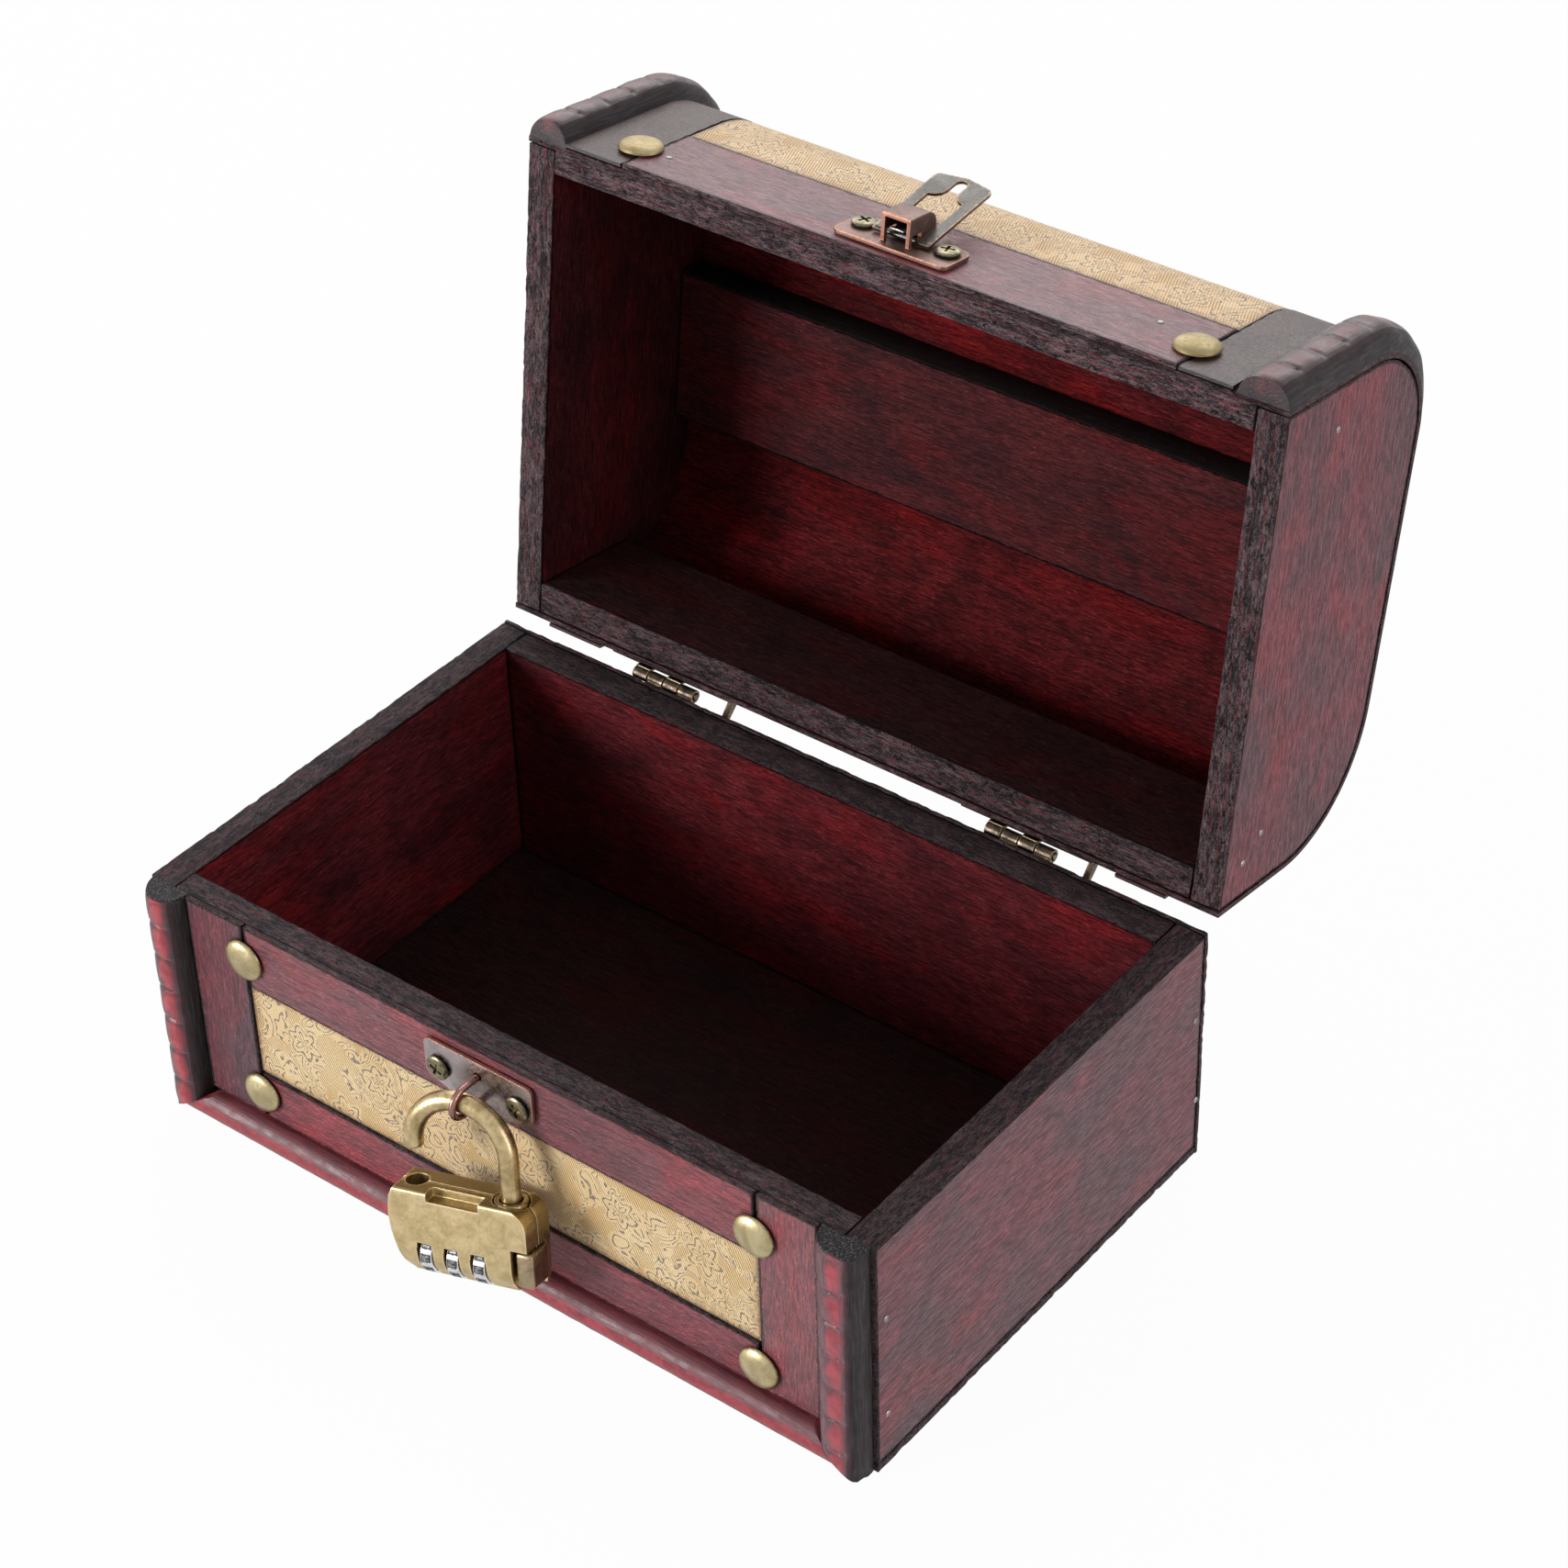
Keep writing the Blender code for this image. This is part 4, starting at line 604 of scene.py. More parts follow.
def body_of(node):
    return NODES[node]["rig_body"]


def corners(node, place=BASE):
    """Lowest and highest corner of a CAD node in a piece's own frame, in millimetres."""
    back = place.inverted()
    points = [back @ (v.co / MM) for v in NODES[node].data.vertices]
    low = [min(p[i] for p in points) for i in range(3)]
    high = [max(p[i] for p in points) for i in range(3)]
    return low, high


def front_middle(node, place, face):
    """The middle of a CAD node as seen from the front, on the given face."""
    low, high = corners(node, place)
    return (low[0] + high[0]) / 2, face, (low[2] + high[2]) / 2


def divided(line, step):
    """A line's points with more between them, at most a step apart, without the last point."""
    points = []
    for (a, b), (c, d) in zip(line, line[1:]):
        count = max(1, math.ceil(math.hypot(c - a, d - b) / step))
        points += [(a + (c - a) * i / count, b + (d - b) * i / count) for i in range(count)]
    return points


def arc(a, b, radius, start, end, steps):
    turns = [math.radians(start + (end - start) * i / steps) for i in range(steps + 1)]
    return [(a + radius * math.cos(turn), b + radius * math.sin(turn)) for turn in turns]


def inset(points, amount):
    """Moves a closed outline inwards, and keeps it inside its own smaller box."""
    area = sum(a * d - c * b for (a, b), (c, d) in zip(points, points[1:] + points[:1]))
    sign = 1 if area > 0 else -1
    low = [min(p[i] for p in points) + amount for i in range(2)]
    high = [max(p[i] for p in points) - amount for i in range(2)]
    moved = []
    for i, here in enumerate(points):
        before, after = Vector(points[i - 1]), Vector(points[(i + 1) % len(points)])
        here = Vector(here)
        first, last = (here - before).normalized(), (after - here).normalized()
        middle = (first + last).normalized()
        side = Vector((-middle.y, middle.x)) * sign
        new = here + side * amount / max(middle.dot(first), 0.5)
        moved.append((min(max(new.x, low[0]), high[0]), min(max(new.y, low[1]), high[1])))
    return moved


def slab_mesh(outline, axis, low, high, soft=0.35, dent=0.45, rings=(0.8, 1.6, 3.0)):
    """A board: outline in the two other axes, thickness along axis, rounded and dented edges."""
    bm, layer = new_mesh()
    outline = divided(outline + outline[:1], 1.0)
    thick = high - low
    soft = min(soft, thick * 0.3)
    span = min(max(p[i] for p in outline) - min(p[i] for p in outline) for i in range(2))
    rings = [r for r in rings if r < span * 0.42]
    turn = [(soft * (1 - math.sin(t)), soft * (1 - math.cos(t))) for t in (0, math.pi / 4, math.pi / 2)]
    stations = [(r, low) for r in rings[::-1]] + [(a, low + b) for a, b in turn]
    stations += [(a, high - b) for a, b in turn[::-1]] + [(r, high) for r in rings]
    loops = []
    deeper = inset(outline, 1.0)
    for amount, depth in stations:
        edge = amount if amount >= (rings[0] if rings else 1.0) else 0.0
        wall = 1.0 if amount < soft * 0.9 else 0.0
        flat = inset(outline, amount) if amount else outline
        loop = []
        for (a, b), here, deep in zip(flat, outline, deeper):
            point = [a, b]
            point.insert(axis, depth)
            if amount <= soft and dent:
                wave = max(jitter(point, 3.4) * 0.5 + jitter(point, 1.1, 5) * 0.6, -0.1) + 0.1
                inward = (Vector(deep) - Vector(here)) * wave * dent
                point = [a + inward.x, b + inward.y]
                point.insert(axis, depth)
            loop.append(dot(bm, layer, point, (edge, (depth - low) / thick, wall)))
        loops.append(loop)
    skin(bm, loops, loops[0][::-1], loops[-1])
    bmesh.ops.remove_doubles(bm, verts=bm.verts, dist=1e-4)
    return bm


def flip_through(bm):
    layer = bm.verts.layers.float_vector["board"]
    for v in bm.verts:
        v[layer] = (v[layer].x, 1 - v[layer].y, v[layer].z)


def board(node, axis, mat, slot, place=BASE, outside=1, trim=None, seat=0.0, reach=0.0, **how):
    """A board in the place of a box-shaped CAD node. outside says which end of its thickness faces out,
    seat how far its inner side reaches through the CAD clearance, reach how far its left end goes on."""
    low, high = corners(node, place)
    low[0] -= reach
    if outside > 0:
        low[axis] -= seat
    else:
        high[axis] += seat
    a, b = [i for i in range(3) if i != axis]
    outline = [(low[a], low[b]), (high[a], low[b]), (high[a], high[b]), (low[a], high[b])]
    bm = slab_mesh(outline, axis, low[axis], high[axis], **how)
    if outside > 0:
        flip_through(bm)
    for v in bm.verts if trim else ():
        v.co = trim(v.co)
    piece(node + "_board", bm, mat, body_of(node), place, [node])


def lid_line(inward, front_foot=0.0, back_foot=0.0):
    """(y, z, length) along the lid's bent sheet, moved inwards, from the front foot to the back."""
    corner = LID_HEIGHT - LID_FRONT_HEIGHT
    points = [(SHEET_FRONT, front_foot)] + arc(SHEET_FRONT + corner, LID_FRONT_HEIGHT, corner, 180, 90, 32)
    start, rise = BACK_FACE - BACK_REACH, LID_HEIGHT - CREST_DROP - BACK_HEIGHT
    curve_shares = ((0.0, 1.0), (0.552, 0.976), (1.0, 0.552), (1.0, 0.0))
    for i in range(41):
        t = i / 40
        weights = ((1 - t) ** 3, 3 * t * (1 - t) ** 2, 3 * t * t * (1 - t), t ** 3)
        along, up = [sum(w * share[k] for w, share in zip(weights, curve_shares)) for k in range(2)]
        points.append((start + BACK_REACH * along, BACK_HEIGHT + rise * up))
    points.append((BACK_FACE, back_foot))
    dense = divided(points, 1.2) + points[-1:]
    moved, length = [], 0.0
    for i, (y, z) in enumerate(dense):
        here = Vector((y, z))
        before, after = Vector(dense[max(i - 1, 0)]), Vector(dense[min(i + 1, len(dense) - 1)])
        length += (here - before).length
        way = (after - before).normalized()
        moved.append((y + way.y * inward, RIM + z - way.x * inward, length))
    return moved


def bent_mesh(xs, inward, thick, front_foot=0.0, back_foot=0.0, ripple=0.0):
    """A layer bent over the lid, with its cloth coordinates in UV."""
    bm, layer = new_mesh()
    outer = lid_line(inward, front_foot, back_foot)
    inner = lid_line(inward + thick, front_foot, back_foot)
    low, high = min(xs), max(xs)
    total = outer[-1][2]
    rows, flat = [], {}
    for x in xs:
        row = []
        for line, through in ((outer, 1.0), (inner[::-1], 0.0)):
            for y, z, length in line:
                edge = min(x - low, high - x, length)
                wall = 1.0 if min(edge, total - length) < 0.05 else 0.0
                free = through and 1 < length < total - 1
                lift = ripple * jitter((x, length, 0), RIPPLE) if free else 0.0
                row.append(dot(bm, layer, (x, y - lift, z + lift), (edge, 1 - through, wall)))
                flat[row[-1]] = (x / CLOTH_UNIT, length / CLOTH_UNIT)
        rows.append(row)
    uv = bm.loops.layers.uv.new("cloth")
    skin(bm, rows)
    for face in bm.faces:
        for loop in face.loops:
            loop[uv].uv = flat[loop.vert]
    for row in (rows[0], rows[-1]):
        for i in range(len(row) // 2 - 1):
            bm.faces.new((row[i], row[i + 1], row[-2 - i], row[-1 - i]))
    return bm


# Boards of the base
board("base_left_side", 0, wood_side, "stained_ply", outside=-1)
board("base_right_side", 0, wood_side, "stained_ply")
board("base_front_panel", 1, wood_long, "stained_ply", outside=-1)
board("base_back_panel", 1, wood_back, "stained_ply")
board("base_floor", 2, wood_floor, "stained_ply", outside=-1)
board("base_back_sheet", 1, wood_long, "stained_ply", soft=0.2)
STRIP_EDGES = {"soft": 0.2, "dent": 0.1, "rings": (0.6, 1.4)}
for name, paint, reach in (("base_left_strip", wood_grey, 1.2), ("base_right_strip", wood_bright_up, 0.0),
                           ("base_top_strip", wood_strip, 0.0), ("base_low_strip", wood_strip, 0.0)):
    board(name, 1, paint, "dark_strip", outside=-1, seat=SEAT, reach=reach, **STRIP_EDGES)


# Boards of the lid
def lid_side(node, outside):
    low, high = corners(node, LID)
    bm = slab_mesh([(y, z) for y, z, _ in lid_line(1.25)], 0, low[0], high[0])
    if outside > 0:
        flip_through(bm)
    piece(node + "_board", bm, wood_lid_side, "lid", LID, [node])


lid_side("lid_left_side", -1)
lid_side("lid_right_side", 1)
board("lid_front_rail", 1, wood_front_rail, "stained_ply", LID, seat=SEAT)
board("lid_inner_slat", 2, wood_lid_slat, "stained_ply", LID, dent=0.05)
board("lid_front_strip", 1, wood_bright, "dark_strip", LID, outside=-1, seat=SEAT, **STRIP_EDGES)

# The roof's inner line over the back rail
ROOF_BACK = [(y, z) for y, z, _ in lid_line(1.3) if y > 20]


def under_roof(point):
    """Keeps a board's outer face under the bent sheet."""
    for (y, z), (y2, z2) in zip(ROOF_BACK, ROOF_BACK[1:]):
        if z2 <= point.z <= z:
            point.y = min(point.y, y + (y2 - y) * (z - point.z) / max(z - z2, 0.001))
    return point


board("lid_back_rail", 1, wood_lid_rail, "stained_ply", LID, trim=under_roof)

ROOF_XS = [-HALF, -79, -77, -74, -50, -20, 20, 50, 74, 77, 79, HALF]
piece("lid_roof", bent_mesh(ROOF_XS, 0.0, SHEET_THICK), wood_roof, "lid", LID,
      ["lid_roof_sheet"])


# Cloth and leather
def cloth_panel():
    low, high = corners("base_brocade")
    bm, layer = new_mesh()
    uv = bm.loops.layers.uv.new("cloth")
    columns, rows = 113, 20
    grid = []
    for j in range(rows + 1):
        line = []
        for i in range(columns + 1):
            x = low[0] + (high[0] - low[0]) * i / columns
            z = low[2] + (high[2] - low[2]) * j / rows
            inside = 1 < i < columns - 1 and 1 < j < rows - 1
            lift = 0.05 * jitter((x, 0, z), RIPPLE) if inside else 0.0
            # The border's dirt and painted shade reach half as far from the top edge as from the others
            edge = min(x - low[0], high[0] - x, z - low[2], (high[2] - z) * 2)
            line.append(dot(bm, layer, (x, low[1] + 0.06 - lift, z), (edge, 0.5, 0.0)))
        grid.append(line)
    for one, two in zip(grid, grid[1:]):
        for i in range(columns):
            bm.faces.new((one[i], one[i + 1], two[i + 1], two[i]))
    border = grid[0] + [line[-1] for line in grid[1:-1]]
    border += grid[-1][::-1] + [line[0] for line in grid[-2:0:-1]]
    back = [dot(bm, layer, (v.co.x, high[1], v.co.z), v[layer]) for v in border]
    skin(bm, [border, back])
    for face in bm.faces:
        for loop in face.loops:
            loop[uv].uv = (loop.vert.co.x / CLOTH_UNIT, loop.vert.co.z / CLOTH_UNIT)
    bm.faces.new(back)
    obj = piece("front_brocade", bm, gold_cloth, "base", BASE, ["base_brocade"])
    (high[0] - low[0]) * MM
    (high[2] - low[2]) * MM


cloth_panel()
cloth_xs = [-LEATHER_X + 0.3 + i * (2 * LEATHER_X - 0.6) / 78 for i in range(79)]
cloth_mesh = bent_mesh(cloth_xs, -CLOTH_OUT, CLOTH_THICK, CLOTH_FRONT, CLOTH_FOOT, 0.04)
lid_cloth = piece("lid_brocade_cloth", cloth_mesh, lid_gold_cloth_painted_light, "lid", LID, ["lid_brocade"])
lid_length = lid_line(-CLOTH_OUT, CLOTH_FRONT, CLOTH_FOOT)[-1][2]
lid_length * MM


def leather_strip(node, low, high, pinked):
    """A strip with one pinked edge, towards the cloth."""
    tooth_pitch, tooth_depth = 1.7, 0.5
    middle = (low + high) / 2
    xs = [low, low + 0.5, low + 1.2, middle, high - 1.2, high - 0.5, high]
    bm = bent_mesh(xs, -LEATHER_OUT, LEATHER_THICK)
    for v in bm.verts:
        if abs(v.co.x - pinked) < 0.01:
            tooth = abs(((v.co.y + v.co.z) / tooth_pitch) % 1.0 - 0.5)
            v.co.x += (tooth_depth if pinked < middle else -tooth_depth) * tooth
    strip = piece(node + "_strip", bm, dark_leather, "lid", LID, [node])
    length = lid_line(-LEATHER_OUT)[-1][2]
    length * MM


leather_strip("lid_left_leather", -71.4, -LEATHER_X, -LEATHER_X)
leather_strip("lid_right_leather", LEATHER_X, FRAME_HALF, LEATHER_X)


# Mouldings
def moulding(name, node, span, path, mat, place, height, lean, foot=None, thin=None, square=0.0):
    """Half-round sweep between two x values. path gives (origin, outward) for a length. Notches are
    slanted curved cuts, and square fills out the profile's right side."""
    length, at = path
    bm, layer = new_mesh()
    pitch = length / int(length / NOTCH_PITCH)
    count = math.ceil(length / 0.45)
    middle_x, half_width = (span[0] + span[1]) / 2, (span[1] - span[0]) / 2
    sides = 20
    notch_half, notch_depth, end_length = 0.8, 0.42, 1.2
    rows = []
    for k in range(count + 1):
        s = length * k / count
        origin, outward = at(s)
        tall = height * (thin(s) if thin else 1.0)
        ends = max(0.0, min(1.0, s / end_length, (length - s) / end_length))
        if foot and s < length / 2:
            ends = 1.0
        row = []
        for i in range(sides + 1):
            t = -1 + 2 * i / sides
            # Flat-sided dome: straight flanks, rounded crest
            fuller = square * max(0.0, t)
            up = (1 - abs(t) ** (2.6 + fuller)) ** (0.62 - 0.02 * fuller) if abs(t) < 1 else 0.0
            phase = (s + lean * (1 - t * t) * 1.6) / pitch
            near = abs(phase - round(phase)) * pitch
            cut = max(0.0, 1 - near / notch_half) ** 1.3 if 0.6 < s < length - 0.6 else 0.0
            cut *= min(1.0, max(0.0, (0.62 - t) / 0.25))
            pillow = 0.07 * math.cos(2 * math.pi * phase)
            rough = 0.10 * jitter((middle_x + t * 5, s, up * 4), 2.6)
            loss = (cut * notch_depth + pillow + 0.10) * up + 0.35 * (1 - math.sqrt(ends))
            rise = max(0.0, up * tall - loss * (1 if up > 0.05 else 0) - 0.1 + rough * up)
            if abs(t) > 0.999:
                rise = -SEAT
            point = origin + outward * rise + Vector((middle_x + t * half_width, 0, 0))
            end = max(0.0, 1 - (length - s) / 0.9)
            row.append(dot(bm, layer, foot(point, s) if foot else point, (t, phase % 1.0, end)))
        rows.append(row)
    skin(bm, rows, rows[0], rows[-1])
    piece(name, bm, mat, body_of(node), place, [node], 50.0)


UPRIGHT_START = 0.05


def upright(s):
    return Vector((0, STRIP_BACK, UPRIGHT_START + s)), Vector((0, -1, 0))


def mitred(point, s):
    """The upright's foot follows the mitre with the low moulding."""
    foot = max(0.0, FOOT_HALF - abs(point.x)) * MITRE + 0.05
    point.z = max(point.z, foot) if s < 7 else point.z
    return point


UPRIGHT_PATH = (BASE_HEIGHT - UPRIGHT_START, upright)
moulding("base_right_upright", "base_right_moulding", (FRAME_HALF + 0.3, FOOT_HALF), UPRIGHT_PATH,
         moulding_right, BASE, UPRIGHT_HEIGHT, 1.0, foot=mitred, square=7.0)
moulding("base_left_upright", "base_left_moulding", (-79.3, -70.6), UPRIGHT_PATH, moulding_left,
         BASE, UPRIGHT_HEIGHT, -0.6, foot=mitred)

LID_CORNER = LID_HEIGHT - LID_FRONT_HEIGHT + 0.3
LID_BEND = LID_CORNER * math.pi / 2


def over_lid(s):
    turn = max(s - LID_FRONT_HEIGHT, 0) / LID_CORNER
    y, z = SHEET_FRONT - 0.3, RIM + min(s, LID_FRONT_HEIGHT)
    y += LID_CORNER * (1 - math.cos(turn))
    z += LID_CORNER * math.sin(turn)
    return Vector((0, y, z)), Vector((0, -math.cos(turn), math.sin(turn)))


def lid_thin(s):
    """The lid's mouldings get lower towards their upper end."""
    return 1 - 0.75 * max((s - LID_FRONT_HEIGHT) / LID_BEND - 0.6, 0) / 0.4


for side, span in (("left", (-79.9, -71.3)), ("right", (69.9, HALF))):
    moulding("lid_" + side + "_bow", "lid_" + side + "_moulding", span,
             (LID_FRONT_HEIGHT + LID_BEND, over_lid), moulding_lid, LID, BOW_HEIGHT, 0.5, thin=lid_thin)


def foot_moulding():
    """Plain half-round along the foot, mitred at both ends."""
    bm, layer = new_mesh()
    columns, sides = 300, 14
    radius, reach = FOOT_HEIGHT / 2, 3.1
    rows = []
    for k in range(columns + 1):
        profile = []
        for i in range(sides + 1):
            turn = math.radians(84 - 168 * i / sides)
            y = FRONT - reach * math.cos(turn) + 0.05 * jitter((k * 0.5, turn * 3, 0), 2.2)
            profile.append((y, radius * (1 + math.sin(turn)), -math.sin(turn) * 0.9 + 0.2))
        profile += [(STRIP_BACK, 0.0, 1.0), (STRIP_BACK, FOOT_HEIGHT, 1.0)]
        place = 2 * k / columns - 1
        rows.append([dot(bm, layer, ((FOOT_HALF - z / MITRE) * place, y, z), (across, 0.5, 0.0))
                     for y, z, across in profile])
    skin(bm, rows, rows[0], rows[-1])
    piece("base_foot_moulding", bm, moulding_long, "base", BASE, ["base_low_moulding"], 50.0)


foot_moulding()


# Turned and bent metal
def turned(bm, profile, axle, sides, wobble=0.0):
    """A solid of revolution about the axle's Z, from (radius, height) points."""
    rings = []
    for radius, height in profile:
        ring = []
        for i in range(sides):
            angle = 2 * math.pi * i / sides
            x, y = math.cos(angle), math.sin(angle)
            r = radius * (1 + wobble * jitter((x, y, height), 0.7, axle[0][3]))
            ring.append(bm.verts.new(axle @ Vector((r * x, r * y, height))))
        rings.append(ring)
    skin(bm, rings, rings[0][::-1], rings[-1])


def facing(direction, place):
    turn = Vector((0, 0, 1)).rotation_difference(Vector(direction)).to_matrix().to_4x4()
    return Matrix.Translation(Vector(place)) @ turn


def carve(obj, cutter, operation="DIFFERENCE"):
    """Cuts a piece with another mesh and applies the result."""
    modifier = obj.modifiers.new("cut", "BOOLEAN")
    modifier.operation = operation
    modifier.solver = "EXACT"
    modifier.object = cutter
    graph = bpy.context.evaluated_depsgraph_get()
    mesh = bpy.data.meshes.new_from_object(obj.evaluated_get(graph))
    obj.modifiers.clear()
    obj.data = mesh
    bpy.data.objects.remove(cutter, do_unlink=True)
    shaded(mesh, 35)


def loose(bm, place=BASE):
    """A tool mesh that isn't part of the object, for carve()."""
    obj = placed("tool", bm, place)
    bpy.context.view_layer.update()
    return obj


def carved(blank):
    """The mesh of a carved tool, back in millimetres."""
    bm = bmesh.new()
    bm.from_mesh(blank.data)
    bpy.data.objects.remove(blank, do_unlink=True)
    scaled(bm, 1 / MM)
    return bm


def dome_nail(node, place, face, paint):
    bm, layer = new_mesh()
    radius, skirt, rise = 4.15, 0.45, 1.45
    turns = [math.radians(88 * i / 11) for i in range(1, 12)]
    dome = [(radius * math.cos(t), skirt + rise * math.sin(t)) for t in turns]
    axle = facing((0, -1, 0), front_middle(node, place, face))
    turned(bm, [(4.05, 0.3), (4.2, 0.42)] + dome, axle, 36, 0.02)
    for v in bm.verts:
        v[layer] = ((face - skirt - v.co.y) * 0.8, 0.5, 0.0)
        v.co.y += 0.07 * jitter(v.co, 2.2)
    piece(node + "_head", bm, paint, body_of(node), place, [node], 60.0)


for i in range(1, 5):
    dome_nail("base_dome_nails_" + str(i), BASE, FRONT, nail_brass)
for i in range(1, 3):
    dome_nail("lid_dome_nails_" + str(i), LID, LID_FACE, lid_nail_brass_painted_shade)


def add_box(bm, low, high, place=BASE):
    low, high = Vector(low), Vector(high)
    placed_box = place @ Matrix.Translation((low + high) / 2) @ Matrix.Diagonal((*(high - low), 1.0))
    bmesh.ops.create_cube(bm, size=1.0, matrix=placed_box)


def cross_screw(node, face, place, turn):
    """Pan head with a cross recess, facing the front."""
    radius, start, rise = 2.4, 0.3, 0.7
    head_shares = ((1.0, 0.45), (0.93, 0.68), (0.75, 0.86), (0.45, 0.97), (0.1, 1.0))
    bm = bmesh.new()
    axle = facing((0, -1, 0), front_middle(node, place, face))
    profile = [(radius * 0.97, start), (radius, 0.4)]
    turned(bm, profile + [(radius * a, start + rise * b) for a, b in head_shares], axle, 28, 0.01)
    obj = piece(node + "_head", bm, screw_brass, body_of(node), place, [node], 40.0)
    arm, half = radius * 0.56, radius * 0.13
    for wide, tall in ((arm, half), (half, arm)):
        tool = bmesh.new()
        add_box(tool, (-wide, -tall, start + rise * 0.25), (wide, tall, 2.0 + rise),
                axle @ Matrix.Rotation(turn, 4, "Z"))
        carve(obj, loose(tool, place))


for group, place, face in (("base", BASE, BASE_PLATE_FACE), ("lid", LID, LID_PLATE_FACE)):
    for i in (1, 2):
        cross_screw(group + "_hasp_screws_" + str(i), face, place, 0.5 + i * 0.7)


def refined(node, mat, place=BASE, soft=0.12, segments=2, grid=0.7, wide=(), shape=None, cuts=(),
            ending="_worn"):
    """A CAD node's own shape, welded, with rounded edges, a fine grid and a worn-edge attribute."""
    bm = bmesh.new()
    bm.from_mesh(NODES[node].data)
    scaled(bm, 1 / MM)
    bmesh.ops.transform(bm, matrix=place.inverted(), verts=bm.verts)
    bmesh.ops.remove_doubles(bm, verts=bm.verts, dist=0.002)
    if cuts:
        blank = loose(bm)
        tool = bmesh.new()
        for low, high in cuts:
            add_box(tool, low, high)
        carve(blank, loose(tool))
        bm = carved(blank)
        bmesh.ops.remove_doubles(bm, verts=bm.verts, dist=0.002)
    bmesh.ops.dissolve_limit(bm, angle_limit=math.radians(1.5), verts=bm.verts, edges=bm.edges)

    def sharp_edges(degrees):
        return [e for e in bm.edges if e.is_manifold and abs(e.calc_face_angle(0)) > math.radians(degrees)]

    for test, amount in wide:
        picked = [e for e in sharp_edges(38.0) if test((e.verts[0].co + e.verts[1].co) / 2,
                                                       (e.verts[1].co - e.verts[0].co).normalized())]
        rounded(bm, picked, amount, 5, True)
    ridges = [(e.verts[0].co.copy(), e.verts[1].co.copy()) for e in sharp_edges(50.0)]
    rounded(bm, sharp_edges(50.0), soft, segments, True)
    for axis in range(3) if grid else ():
        low = min(v.co[axis] for v in bm.verts)
        high = max(v.co[axis] for v in bm.verts)
        for i in range(1, math.ceil((high - low) / grid)):
            middle, normal = [0, 0, 0], [0, 0, 0]
            middle[axis], normal[axis] = low + grid * i, 1
            geom = list(bm.verts) + list(bm.edges) + list(bm.faces)
            bmesh.ops.bisect_plane(bm, geom=geom, dist=1e-4, plane_co=middle, plane_no=normal)
    layer = bm.verts.layers.float_vector.new("board")
    for v in bm.verts:
        near = 9.0
        for a, b in ridges:
            way = b - a
            t = min(max((v.co - a).dot(way) / max(way.length_squared, 1e-9), 0), 1)
            near = min(near, (v.co - a - way * t).length_squared)
        v[layer] = (math.sqrt(near), 0.5, 0.0)
    for v in bm.verts if shape else ():
        v.co = shape(v.co)
    piece(node + ending, bm, mat, body_of(node), place, [node])


def bridge_top(middle, way):
    """The bridge's long upper edges and its upper back edge."""
    return middle.y < -53.5 and abs(middle.x - HASP_X) > 2.0 and abs(way.z) > 0.8


def plate_corner(middle, way):
    return abs(way.y) > 0.9 and abs(middle.x - HASP_X) > 10.5


refined("base_hasp_plate", copper, soft=0.2, segments=3, wide=[(plate_corner, 1.3)])
refined("lid_hasp_plate", lid_copper, LID, soft=0.2, segments=3,
        wide=[(bridge_top, 1.25), (plate_corner, 1.3)])
refined("hasp_strap", strap_metal, STRAP)
refined("hasp_spring", spring_metal, LID, soft=0.05, grid=0, ending="_bent")
for side in ("left", "right"):
    refined(side + "_hinge_base_leaf", hinge_brass, soft=0.08)
    refined(side + "_hinge_lid_leaf", hinge_brass, LID, soft=0.08)
    refined(side + "_hinge_pin", hinge_brass, soft=0.08, grid=0)


def cast(point):
    """The lock's cast shape: a bulging left end, a pillowed front that rolls in below the dials."""
    t = min(max((point.z - LOCK_FOOT) / LOCK_HEIGHT, 0), 1)
    if point.x < -5:
        point.x -= (0.75 * math.sin(math.pi * t) - 0.25) * (-5 - point.x) / 7.7
    if point.y < -2.2:
        share = min(1, (-2.2 - point.y) / 1.5)
        crown = max(0, math.cos(point.x / 13 * math.pi / 2)) * math.sin(math.pi * min(t + 0.15, 1))
        point.y -= share * 0.35 * crown
        under = max(0, (DIAL_Z + 1.5 - point.z) / 5.2)
        point.y += share * 1.7 * under ** 2
    return point


SLOTS = [((10.7, -6.0, LOCK_FOOT - 1.0), (16.0, -0.6, LOCK_FOOT + 8.9))]
SLOTS += [((x - 1.38, -6.0, LOCK_FOOT - 1.0), (x + 1.38, -0.8, DIAL_Z + 3.0)) for x in DIAL_XS]
refined("lock_front_shell", lock_brass, LOCK, soft=0.22, segments=3, grid=0.8, shape=cast,
        cuts=SLOTS)
refined("lock_back_shell", lock_brass, LOCK, soft=0.16, grid=0.9, shape=cast)


def block(low, high, soft, segments):
    bm = bmesh.new()
    add_box(bm, low, high)
    rounded(bm, bm.edges, soft, segments)
    return loose(bm)


# The lever's sliding block is as wide as its opening at the lock's front, and a thumb piece stands out
lever = block((11.15, -3.45, LOCK_FOOT + 1.5), (14.55, -0.8, LOCK_FOOT + 8.3), 0.75, 4)
thumb = block((12.72, -2.0, LOCK_FOOT + 1.6), (14.6, 1.95, LOCK_FOOT + 8.15), 0.45, 3)
carve(lever, thumb, "UNION")
piece("release_lever_worn", carved(lever), lever_brass, "lever", LOCK, ["release_lever"])
refined("shackle_collar", collar_brass, LOCK, grid=0)
refined("dial_axle", lock_brass, LOCK, soft=0.05, grid=0)


